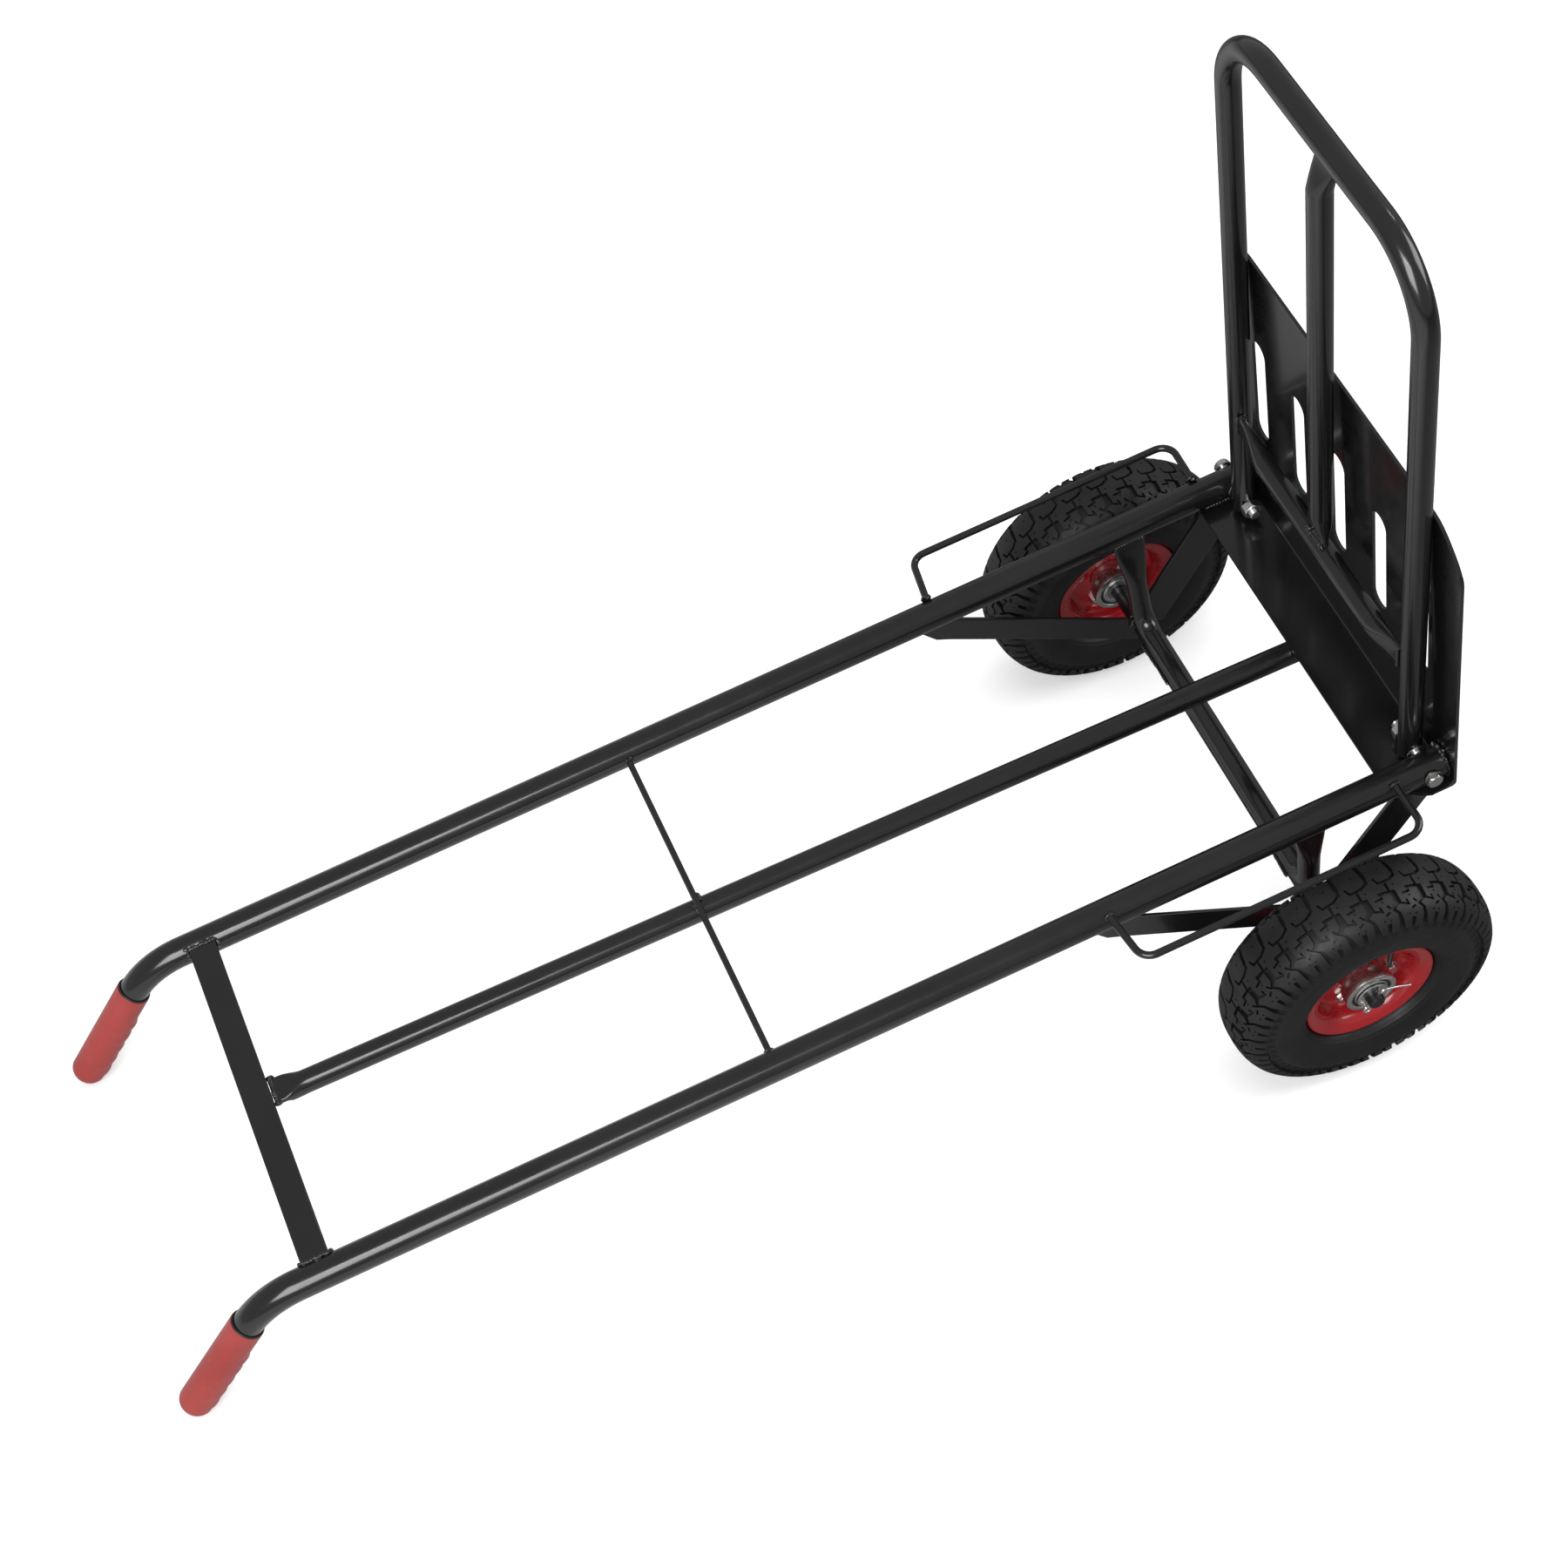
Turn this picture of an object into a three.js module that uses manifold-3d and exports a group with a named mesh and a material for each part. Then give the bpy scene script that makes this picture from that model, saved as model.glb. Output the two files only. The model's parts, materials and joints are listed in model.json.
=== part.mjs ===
// Convertible hand truck: two bent side rails with grips, a fixed toe plate,
// a fold-out toe extension loop on two pivot bolts, and two pneumatic wheels.
// The truck rests on its tyres and its grips, load side up.
//
// Millimetres. Truck axes, before the resting tilt: x runs along the rails
// towards the toe plate, y runs across to the left rail, z points out of the
// load side. x = 0 is close to the pivot bolts, z = 0 is the rail axis plane.
// The right-hand pieces mirror the left-hand ones in y.
import * as THREE from "three";
import { mergeVertices } from "three/addons/utils/BufferGeometryUtils.js";
import Module from "manifold-3d";

const wasm = await Module();
wasm.setup();
const { degToRad } = THREE.MathUtils;

// ---- dimensions shared between sections ----
const GAP = 0.4; // clearance between neighbouring pieces
const TUBE_WALL = 1.5;
const RAIL_R = 14;
const RAIL_Y = 184;
const PLATE_X = 16; // handle-side face of the toe plate's upright
const PANEL_Z = -14.4; // load-side face of the toe plate's panel under the rails
const PANEL_T = 3;
const PIVOT_X = -2;
const PIVOT_Z = 3;
const BOLT_R = 5;
const BOLT_HOLE_R = BOLT_R + GAP;
const AXLE_X = -112;
const AXLE_Z = -154;
const AXLE_R = 8;
const AXLE_BORE_R = AXLE_R + GAP;
const WHEEL_Y = 257;
const TYRE_R = 130;
const CUT_Y = [150, 220]; // y range of the cutters that pass right through the left rail and struts

// ---- finishes ----
const finish = (settings) => new THREE.MeshStandardMaterial(settings);
const black = finish({ color: 0x1c1d20, roughness: 0.3, metalness: 0.1 });
const red = finish({ color: 0xc01820, roughness: 0.3, metalness: 0.1 });
const redGrip = finish({ color: 0xc23030, roughness: 0.5, metalness: 0 });
const zinc = finish({ color: 0xbfc3c2, roughness: 0.35, metalness: 0.9 });
const steel = finish({ color: 0x8f9293, roughness: 0.3, metalness: 1 });
const rubber = finish({ color: 0x26272a, roughness: 0.85, metalness: 0 });

// ---- solids and meshes ----
const vec = (x, y, z) => new THREE.Vector3(x, y, z);

// A closed geometry as a manifold solid, without collapsed triangles and facing outwards.
function solid(geometry) {
  const bare = geometry.clone();
  bare.deleteAttribute("normal");
  bare.deleteAttribute("uv");
  const merged = mergeVertices(bare, 1e-4);
  const index = merged.index.array;
  const triangles = [];
  for (let i = 0; i < index.length; i += 3) {
    const triangle = [index[i], index[i + 1], index[i + 2]];
    if (new Set(triangle).size === 3) triangles.push(triangle);
  }
  const build = (list) =>
    new wasm.Manifold(
      new wasm.Mesh({
        numProp: 3,
        vertProperties: merged.attributes.position.array,
        triVerts: new Uint32Array(list.flat()),
      }),
    );
  const built = build(triangles);
  if (built.volume() >= 0) return built;
  return build(triangles.map(([first, second, third]) => [first, third, second]));
}

function geometryOf(shape) {
  const { vertProperties, triVerts } = shape.getMesh();
  const geometry = new THREE.BufferGeometry();
  geometry.setAttribute("position", new THREE.BufferAttribute(vertProperties, 3));
  geometry.setIndex(new THREE.BufferAttribute(triVerts, 1));
  geometry.computeVertexNormals();
  return geometry;
}

const mirrored = (shape) => shape.mirror([0, 1, 0]);

function add(parent, name, shape, material) {
  const mesh = new THREE.Mesh(geometryOf(shape), material);
  mesh.name = name;
  parent.add(mesh);
  return mesh;
}

const root = new THREE.Group();
root.name = "hand_truck";
const truck = new THREE.Group();
root.add(truck);

// Adds a left-hand piece and its mirror image; returns the left mesh.
function addPair(name, shape, material) {
  add(truck, name + "_right", mirrored(shape), material);
  return add(truck, name + "_left", shape, material);
}

// ---- primitive shapes ----
function box(x0, x1, y0, y1, z0, z1) {
  const geometry = new THREE.BoxGeometry(x1 - x0, y1 - y0, z1 - z0);
  geometry.translate((x0 + x1) / 2, (y0 + y1) / 2, (z0 + z1) / 2);
  return solid(geometry);
}

// A cylinder between two points.
function rod(start, end, radius, segments) {
  const axis = end.clone().sub(start);
  const geometry = new THREE.CylinderGeometry(radius, radius, axis.length(), segments);
  const turn = new THREE.Quaternion().setFromUnitVectors(vec(0, 1, 0), axis.normalize());
  geometry.applyQuaternion(turn);
  geometry.translate((start.x + end.x) / 2, (start.y + end.y) / 2, (start.z + end.z) / 2);
  return solid(geometry);
}

// A profile of [radius, y] pairs turned about the y axis. It closes on itself
// unless closed is false, when both its ends must lie on the axis.
function turned(profile, segments, closed = true) {
  const points = profile.map(([radius, y]) => new THREE.Vector2(radius, y));
  if (closed) points.push(points[0].clone());
  return solid(new THREE.LatheGeometry(points, segments));
}

const ring = (bore, radius, y0, y1, segments) =>
  turned([[bore, y0], [radius, y0], [radius, y1], [bore, y1]], segments);

function extruded(outline, depth) {
  const shape = new THREE.Shape(outline.map(([x, y]) => new THREE.Vector2(x, y)));
  return new THREE.ExtrudeGeometry(shape, { depth, bevelEnabled: false });
}

// Flat outlines given thickness along the axis that isn't in the name.
function sheetXY(outline, z0, z1) {
  return solid(extruded(outline, z1 - z0).translate(0, 0, z0));
}

function sheetXZ(outline, y0, y1) {
  return solid(extruded(outline, y1 - y0).rotateX(Math.PI / 2).translate(0, y1, 0));
}

function sheetYZ(outline, x0, x1) {
  const geometry = extruded(outline, x1 - x0);
  geometry.rotateX(Math.PI / 2);
  geometry.rotateZ(Math.PI / 2);
  return solid(geometry.translate(x0, 0, 0));
}

// Points on an arc, in degrees, for an outline.
function arc(centreX, centreY, radius, from, to, steps) {
  return Array.from({ length: steps + 1 }, (_, k) => {
    const angle = degToRad(from + ((to - from) * k) / steps);
    return [centreX + radius * Math.cos(angle), centreY + radius * Math.sin(angle)];
  });
}

// ---- tubes: swept along stations, each a point and a tangent ----
const station = (point, tangent) => ({ point, tangent });

// Stations along a polyline whose inner corners are rounded.
function route(points, bendRadius, steps) {
  const last = points.length - 1;
  const heading = (i) => points[i + 1].clone().sub(points[i]).normalize();
  const stations = [station(points[0], heading(0))];
  for (let i = 1; i < last; i++) {
    const before = heading(i - 1);
    const after = heading(i);
    const turn = before.angleTo(after);
    const inward = after.clone().addScaledVector(before, -before.dot(after)).normalize();
    const centre = points[i].clone()
      .addScaledVector(before, -bendRadius * Math.tan(turn / 2))
      .addScaledVector(inward, bendRadius);
    for (let k = 0; k <= steps; k++) {
      const angle = (turn * k) / steps;
      const cos = Math.cos(angle);
      const sin = Math.sin(angle);
      stations.push(station(
        centre.clone()
          .addScaledVector(inward, -bendRadius * cos)
          .addScaledVector(before, bendRadius * sin),
        before.clone().multiplyScalar(cos).addScaledVector(inward, sin),
      ));
    }
  }
  stations.push(station(points[last], heading(last - 1)));
  return stations;
}

// The same stations on the other side of y = 0, in the order a path returns through them.
const returning = (stations) =>
  stations.map(({ point, tangent }) =>
    station(vec(point.x, -point.y, point.z), vec(-tangent.x, tangent.y, -tangent.z))).reverse();

// Section sizes for a path that is round except for the same shaping at both ends.
const shapedEnds = (stations, ends, radius) =>
  stations.map((_, i) => ends[Math.min(i, stations.length - 1 - i)] ?? [radius, radius]);

// A tube through stations that lie in a plane of unit normal `across`. `sizes` is
// a radius, or per station the half sizes [in the plane, across it] of an ellipse.
// With a wall it is hollow and open at both ends; without one it is solid.
function tube(stations, across, sizes, segments, wall = 0) {
  const section = (i, inset) => {
    const [inPlane, sideways] = Array.isArray(sizes) ? sizes[i] : [sizes, sizes];
    return { i, inPlane: inPlane - inset, sideways: sideways - inset };
  };
  const outer = stations.map((_, i) => section(i, 0));
  const capCentre = (i) => ({ i, inPlane: 0, sideways: 0 });
  const profile = wall
    ? [...outer, ...stations.map((_, i) => section(i, wall)).reverse(), outer[0]]
    : [capCentre(0), ...outer, capCentre(stations.length - 1)];
  const normals = stations.map(({ tangent }) => across.clone().cross(tangent).normalize());
  // the lathe supplies the triangles; its points are then moved onto the sections
  const count = profile.length;
  const placeholder = profile.map((_, j) => new THREE.Vector2(1, j));
  const lathe = new THREE.LatheGeometry(placeholder, segments);
  for (let k = 0; k <= segments; k++) {
    const angle = (2 * Math.PI * (k % segments)) / segments;
    profile.forEach(({ i, inPlane, sideways }, j) => {
      const { x, y, z } = stations[i].point.clone()
        .addScaledVector(normals[i], inPlane * Math.cos(angle))
        .addScaledVector(across, sideways * Math.sin(angle));
      lathe.attributes.position.setXYZ(k * count + j, x, y, z);
    });
  }
  return solid(lathe);
}

// ---- side rails ----
const RAIL_END_X = 14; // toe end of the rails
const HANDLE_ANGLE = degToRad(48);
const HANDLE_BEND = 75;
const HANDLE_LEN = 151; // from the bend's corner to the end of the tube
const handleCorner = vec(-1112.8, RAIL_Y, 0);
const handleDirection = vec(-Math.cos(HANDLE_ANGLE), 0, -Math.sin(HANDLE_ANGLE));
const handlePoint = (distance) =>
  handleCorner.clone().addScaledVector(handleDirection, distance);

function rail() {
  const points = [vec(RAIL_END_X, RAIL_Y, 0), handleCorner, handlePoint(HANDLE_LEN)];
  const [y0, y1] = CUT_Y;
  const pivotHole = rod(vec(PIVOT_X, y0, PIVOT_Z), vec(PIVOT_X, y1, PIVOT_Z), BOLT_HOLE_R, 8);
  return tube(route(points, HANDLE_BEND, 5), vec(0, 1, 0), RAIL_R, 12, TUBE_WALL)
    .subtract(pivotHole);
}
addPair("rail", rail(), black);

// ---- grips ----
const GRIP_R = 16;
const GRIP_LEN = 128;
const GRIP_BORE_R = RAIL_R + 0.35;
const GRIP_MOUTH = HANDLE_BEND * Math.tan(HANDLE_ANGLE / 2) + 1.5; // from the bend's corner
const GRIP_PROFILE = [ // [distance from the mouth, radius]
  [0, GRIP_R - 0.6],
  [3, GRIP_R],
  [GRIP_LEN - 12, GRIP_R],
  [GRIP_LEN - 4, GRIP_R - 2],
  [GRIP_LEN, GRIP_R - 6],
];

function grip() {
  const across = vec(0, 1, 0);
  const stationAt = (distance) => station(handlePoint(distance), handleDirection);
  const outside = GRIP_PROFILE.map(([distance]) => stationAt(GRIP_MOUTH + distance));
  const sizes = GRIP_PROFILE.map(([, radius]) => [radius, radius]);
  const bore = [stationAt(GRIP_MOUTH - 5), stationAt(HANDLE_LEN + GAP)];
  return tube(outside, across, sizes, 12).subtract(tube(bore, across, GRIP_BORE_R, 12));
}
const gripMesh = addPair("grip", grip(), redGrip);

// ---- handle crossbar, brace rod, centre rail ----
const BAR_X = -1058.4;
const BAR_WIDTH = 26;
const BAR_T = 4;
const BAR_Z = 10;
const BAR_HALF = 172;
const BAR_TOE_EDGE = BAR_X + BAR_WIDTH / 2;
add(truck, "handle_crossbar", box(
  BAR_X - BAR_WIDTH / 2, BAR_TOE_EDGE, -BAR_HALF, BAR_HALF, BAR_Z - BAR_T / 2, BAR_Z + BAR_T / 2,
), black);

const ROD_X = -632;
const ROD_Z = 2.8;
const ROD_R = 3;
const ROD_HALF = RAIL_Y - RAIL_R - GAP;
const braceRod = rod(vec(ROD_X, -ROD_HALF, ROD_Z), vec(ROD_X, ROD_HALF, ROD_Z), ROD_R, 10);
add(truck, "brace_rod", braceRod, black);

// The centre rail slopes gently, then flattens against the crossbar.
const CENTRE_R = 11;
const CENTRE_TOE_X = -8;
const centreZ = (x) => -29.5 - 0.0296 * (x + 33);
const CENTRE_RAIL = [ // [x, z, half size in z, half size in y]
  [CENTRE_TOE_X, centreZ(CENTRE_TOE_X), CENTRE_R, CENTRE_R],
  [BAR_TOE_EDGE + 30, centreZ(BAR_TOE_EDGE + 30), CENTRE_R, CENTRE_R],
  [BAR_TOE_EDGE + 16, 1.8, 7.4, 13.2],
  [BAR_TOE_EDGE + 6, 4, 3.6, 15.5],
  [BAR_TOE_EDGE - 12, 4, 3.6, 15.5],
];
add(truck, "centre_rail", tube(
  CENTRE_RAIL.map(([x, z]) => station(vec(x, 0, z), vec(-1, 0, 0))),
  vec(0, 1, 0), CENTRE_RAIL.map((row) => row.slice(2)), 12, TUBE_WALL,
), black);

// ---- toe plate: an L of sheet steel, slotted, across the rail ends ----
const PLATE_T = 3;
const PLATE_HALF = 206;
const PLATE_TOP = 329;
const PLATE_SHOULDER = 284; // z where the rounded top corners begin
const PLATE_LOW_HALF = 203.5; // half width at the foot of the tapered sides
const PLATE_OUT = PLATE_X + PLATE_T;
const PANEL_LOW = PANEL_Z - PANEL_T;
const PANEL_EDGE = -39;
const FOLD_IN_R = 2;
const FOLD_OUT_R = 5;
const SLOT_COUNT = 5;
const SLOT_PITCH = 72.4;
const SLOT_MIDDLE_Y = 1.2;
const SLOT_R = 11.8;
const SLOT_LOW = 108; // z of the slot's end centres
const SLOT_HIGH = 214;
const PLATE_CORNER = [ // rounded top corner, [y, z]
  [160, 330], [169, 327], [178, 321.5], [187, 313.5], [196.5, 303], [203, 293],
  [PLATE_HALF, PLATE_SHOULDER],
];

function toePlate() {
  const section = [
    [PANEL_EDGE, PANEL_LOW],
    ...arc(PLATE_OUT - FOLD_OUT_R, PANEL_LOW + FOLD_OUT_R, FOLD_OUT_R, -90, 0, 3),
    [PLATE_OUT, PLATE_TOP],
    [PLATE_X, PLATE_TOP],
    ...arc(PLATE_X - FOLD_IN_R, PANEL_Z + FOLD_IN_R, FOLD_IN_R, 0, -90, 2),
    [PANEL_EDGE, PANEL_Z],
  ];
  const margin = 4; // how far cutters overrun the faces
  const cutEnd = PLATE_OUT + margin;
  let plate = sheetXZ(section, -PLATE_HALF, PLATE_HALF);
  for (let k = 0; k < SLOT_COUNT; k++) {
    const y = SLOT_MIDDLE_Y + (k - (SLOT_COUNT - 1) / 2) * SLOT_PITCH;
    const slot = [
      ...arc(y, SLOT_HIGH, SLOT_R, 0, 180, 8),
      ...arc(y, SLOT_LOW, SLOT_R, 180, 360, 8),
    ];
    plate = plate.subtract(sheetYZ(slot, PLATE_X - margin, cutEnd));
  }
  // the sides widen slightly upwards, from the panel to the shoulder
  const sideTaper = [
    [PLATE_LOW_HALF, PANEL_Z - 10],
    [PLATE_HALF + 3, PANEL_Z - 10],
    [PLATE_HALF + 3, PLATE_SHOULDER],
    [PLATE_HALF, PLATE_SHOULDER],
  ];
  // the panel's outer corners are cut off at a slant, [x, y]
  const panelCorner = [[PANEL_EDGE - 1, 180], [-6, 204], [-6, 215], [PANEL_EDGE - 1, 215]];
  const topCorner = [
    ...PLATE_CORNER,
    [PLATE_HALF + 1, PLATE_SHOULDER],
    [PLATE_HALF + 1, PLATE_TOP + 1],
  ];
  const cuts = [
    sheetYZ(sideTaper, PANEL_EDGE - margin, cutEnd),
    sheetXY(panelCorner, PANEL_Z - 14, PANEL_Z + 6),
    sheetYZ(topCorner, PLATE_X - margin, cutEnd),
  ];
  for (const cut of cuts) plate = plate.subtract(cut).subtract(mirrored(cut));
  return plate;
}
add(truck, "toe_plate", toePlate(), black);

// ---- toe extension loop, in its own group at the pivot; its legs run along z ----
const LOOP_R = 11;
const LOOP_Y = 157.7;
const LOOP_TOP = 609;
const LOOP_BEND = 70;
const LOOP_LEAN = degToRad(1.15);
const LEG_END_Z = [-12.6, -9, -3];
const LEG_END_SIZES = [[LOOP_R, 5], [LOOP_R, 9]]; // half sizes in [y, x], the rest is round
const LOOP_BRACE_WALL = 1.4; // of the cross tube and centre leg
const loop = new THREE.Group();
loop.name = "toe_loop";
loop.position.set(PIVOT_X, 0, PIVOT_Z);
loop.rotation.y = LOOP_LEAN;
truck.add(loop);

function loopFrame() {
  const points = [
    vec(0, LOOP_Y, 0), vec(0, LOOP_Y, LOOP_TOP), vec(0, -LOOP_Y, LOOP_TOP), vec(0, -LOOP_Y, 0),
  ];
  const legEnd = LEG_END_Z.map((z) => station(vec(0, LOOP_Y, z), vec(0, 0, 1)));
  const bends = route(points, LOOP_BEND, 5).slice(1, -1);
  const stations = [...legEnd, ...bends, ...returning(legEnd)];
  const sizes = shapedEnds(stations, LEG_END_SIZES, LOOP_R);
  return tube(stations, vec(1, 0, 0), sizes, 12, TUBE_WALL)
    .subtract(rod(vec(0, -180, 0), vec(0, 180, 0), BOLT_HOLE_R, 8));
}
add(loop, "loop_frame", loopFrame(), black);

const CROSS_TUBE_Z = 114;
const CROSS_TUBE_R = 10; // half size in z
const CROSS_TUBE_X = -5;
const CROSS_TUBE_HALF = LOOP_Y - LOOP_R - GAP;
const CROSS_TUBE_END = [ // [distance from the end, rise in z, half size in z, half size in x]
  [0, 9, 3, 11.05],
  [8, 8, 3.2, 11.05],
  [34, 0, CROSS_TUBE_R, 8.5],
];

function crossTube() {
  const end = CROSS_TUBE_END.map(([inset, rise]) =>
    station(vec(CROSS_TUBE_X, inset - CROSS_TUBE_HALF, CROSS_TUBE_Z + rise), vec(0, 1, 0)));
  const stations = [...end, ...returning(end)];
  const sizes = shapedEnds(stations, CROSS_TUBE_END.map((row) => row.slice(2)));
  return tube(stations, vec(1, 0, 0), sizes, 12, LOOP_BRACE_WALL);
}
add(loop, "loop_cross_tube", crossTube(), black);

const LEG_LOW = CROSS_TUBE_Z + CROSS_TUBE_R + GAP;
const LEG_HIGH = LOOP_TOP - LOOP_R - 0.5;
const CENTRE_LEG = [ // [z, x, half size in y, half size in x]
  [LEG_LOW, -3, 12.5, 3.4],
  [LEG_LOW + 10, -3, 12.5, 3.6],
  [LEG_LOW + 34, -3, 11, 11],
  [LEG_HIGH - 34, -3, 11, 11],
  [LEG_HIGH - 8, 3, 12.5, 3.6],
  [LEG_HIGH, 4, 12.5, 3.4],
];
add(loop, "loop_centre_leg", tube(
  CENTRE_LEG.map(([z, x]) => station(vec(x, 0, z), vec(0, 0, 1))),
  vec(1, 0, 0), CENTRE_LEG.map((row) => row.slice(2)), 12, LOOP_BRACE_WALL,
), black);

// ---- pivot bolts, washers and nuts: [y0, y1, radius, segments] about the pivot ----
const BOLT_HEAD = [198.4, 204.6, 8, 6];
const BOLT_SHANK = [136.2, 199, BOLT_R, 8];
const PIVOT_WASHER = [169, 169.7, 9.6, 10];
const PIVOT_NUT = [137.2, 146.3, 9.2, 6];
const PIVOT_BORE = [130, 175, BOLT_HOLE_R, 8];

const onPivot = ([y0, y1, radius, segments]) =>
  rod(vec(PIVOT_X, y0, PIVOT_Z), vec(PIVOT_X, y1, PIVOT_Z), radius, segments);
addPair("pivot_bolt", onPivot(BOLT_HEAD).add(onPivot(BOLT_SHANK)), zinc);
addPair("pivot_washer", onPivot(PIVOT_WASHER).subtract(onPivot(PIVOT_BORE)), zinc);
addPair("pivot_nut", onPivot(PIVOT_NUT).subtract(onPivot(PIVOT_BORE)), zinc);

// ---- wheel guards: bent rods outboard of the rails ----
const GUARD_R = 3.5;
const GUARD_BEND = 13;
const GUARD_PATH = [ // [x, y, z]
  [-38, 195.6, 14], [-36, 246, 10], [-307, 246, 10], [-314, 195.6, 14],
];
const guardRoute = route(GUARD_PATH.map((point) => vec(...point)), GUARD_BEND, 3);
addPair("wheel_guard", tube(guardRoute, vec(0, 0, 1), GUARD_R, 8), black);

// ---- axle support tube: flattened legs under the rails, bent into a cross tube ----
const SUPPORT_R = 10.5;
const SUPPORT_Z = -135;
const SUPPORT_Y = 168;
const SUPPORT_BEND = 24;
const SUPPORT_TOP_Y = 179.6;
const SUPPORT_TOP_Z = { left: -14.9, right: -14.8 };
const SUPPORT_TAPER = [22, 62]; // distances down the leg from its top
const SUPPORT_END_SIZES = [[2.8, 16.2], [3.6, 15.6], [8, 13]]; // half sizes [across the leg, in x]

function supportTube() {
  const points = [
    vec(AXLE_X, SUPPORT_TOP_Y, SUPPORT_TOP_Z.left),
    vec(AXLE_X, SUPPORT_Y, SUPPORT_Z),
    vec(AXLE_X, -SUPPORT_Y, SUPPORT_Z),
    vec(AXLE_X, -SUPPORT_TOP_Y, SUPPORT_TOP_Z.right),
  ];
  const bent = route(points, SUPPORT_BEND, 4);
  const { point, tangent } = bent[0];
  const taper = SUPPORT_TAPER.map((distance) =>
    station(point.clone().addScaledVector(tangent, distance), tangent));
  const stations = [
    bent[0], ...taper, ...bent.slice(1, -1), ...returning(taper), bent[bent.length - 1],
  ];
  const sizes = shapedEnds(stations, SUPPORT_END_SIZES, SUPPORT_R);
  return tube(stations, vec(1, 0, 0), sizes, 10, TUBE_WALL);
}
add(truck, "axle_support_tube", supportTube(), black);

// ---- flat struts from the rails to the axle ----
// A strip follows the line between two [x, z] points, running on past each by an overrun.
const STRUT_T = 4;
const STRUT_GAP = 0.35; // between the front and rear struts
const REAR_STRIP = { from: [-200, -101], to: [-112, -160.5], width: 27, overruns: [190, 10] };
const FRONT_STRIP = {
  from: [-60.3, -97.2], to: [-106.3, -161.2], width: 39, overruns: [100, 8],
};

function strip({ from, to, width, overruns }, grow = 0) {
  const along = new THREE.Vector2(to[0] - from[0], to[1] - from[1]).normalize();
  const half = width / 2 + grow;
  const corner = ([x, z], reach, side) => [
    x + along.x * reach - along.y * side,
    z + along.y * reach + along.x * side,
  ];
  const outline = [
    corner(from, -overruns[0], half),
    corner(from, -overruns[0], -half),
    corner(to, overruns[1], -half),
    corner(to, overruns[1], half),
  ];
  const halfThickness = STRUT_T / 2 + grow;
  return sheetXZ(outline, RAIL_Y - halfThickness, RAIL_Y + halfThickness);
}

const strutCut = (x0, x1, z0, z1) => box(x0, x1, ...CUT_Y, z0, z1);
const axleHole = rod(
  vec(AXLE_X, CUT_Y[0], AXLE_Z), vec(AXLE_X, CUT_Y[1], AXLE_Z), AXLE_BORE_R, 16,
);
const largest = (shape) => shape.decompose().sort((a, b) => b.volume() - a.volume())[0];

// Trimmed below the rail and at its handle end.
const rearStrut = strip(REAR_STRIP)
  .subtract(strutCut(-420, 40, -RAIL_R - 0.5, 60))
  .subtract(axleHole)
  .subtract(strutCut(-420, -325, -80, 0));
addPair("rear_strut", largest(rearStrut), black);

// Trimmed below the toe plate's panel, short of its outer face and around the rear strut.
const frontStrut = strip(FRONT_STRIP)
  .subtract(strutCut(-420, 80, PANEL_LOW - GAP, 60))
  .subtract(strutCut(17, 80, -60, 0))
  .subtract(axleHole)
  .subtract(strip(REAR_STRIP, STRUT_GAP));
addPair("front_strut", largest(frontStrut), black);

// ---- axle: a solid bar with chamfered ends and a split pin hole near each end ----
const AXLE_HALF = 300;
const AXLE_CHAMFER = 1;
const PIN_OUTBOARD = 37; // split pin, from the wheel centre
// A point on the line a split pin takes through the axle, from the axle's centre line.
const pinPoint = (distance) => vec(0.53 * distance, 0, 0.848 * distance);

function axle() {
  let bar = turned([
    [0, -AXLE_HALF],
    [AXLE_R - AXLE_CHAMFER, -AXLE_HALF],
    [AXLE_R, -AXLE_HALF + AXLE_CHAMFER],
    [AXLE_R, AXLE_HALF - AXLE_CHAMFER],
    [AXLE_R - AXLE_CHAMFER, AXLE_HALF],
    [0, AXLE_HALF],
  ], 16, false);
  const pinHole = rod(pinPoint(-30), pinPoint(30), 2.1, 6);
  for (const side of [1, -1]) {
    bar = bar.subtract(pinHole.translate([0, side * (WHEEL_Y + PIN_OUTBOARD), 0]));
  }
  return bar.translate([AXLE_X, 0, AXLE_Z]);
}
add(truck, "axle", axle(), black);

// ---- wheels: profiles are [radius, y], y outboard from the wheel centre ----
const TYRE_OUTSIDE = [
  [49.6, 13], [49.6, 20.5], [53.5, 24.2], [65.2, 25], [66.4, 30.5], [80, 38.4], [94, 39.5],
  [112, 36.6], [124, 24], [TYRE_R, 8],
];
const TYRE_INSIDE = [[120, 14], [104, 31], [78, 31], [58, 16]];
const RIM_HALF = [
  [20, 1.9], [42, 1.9], [46.6, 5], [48.8, 21], [53, 24.8], [62.4, 25.6], [63.7, 27], [63.7, 29],
  [55, 28.2], [46, 22.8], [43.6, 6.6], [20, 4],
];
const HUB_HALF = [ // bore, open bearing cup, then the centre flange
  [12, 14], [19, 14], [23.4, 14], [23.4, 30], [25, 30], [25, 13.4], [19.4, 9], [19.4, 1.5],
  [41, 1.5],
];
const BEARING_R = 22.9;
const BEARING_Y = [15, 30];
const RIM_BOLT_COUNT = 4;
const RIM_BOLT_CIRCLE_R = 36;
const RIM_BOLT_START = 20; // degrees
const RIM_HEAD_R = 5.6; // bolt heads and nuts
const STEM_ANGLE = degToRad(60);
const flipped = (profile) => profile.map(([radius, y]) => [radius, -y]).reverse();

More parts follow.
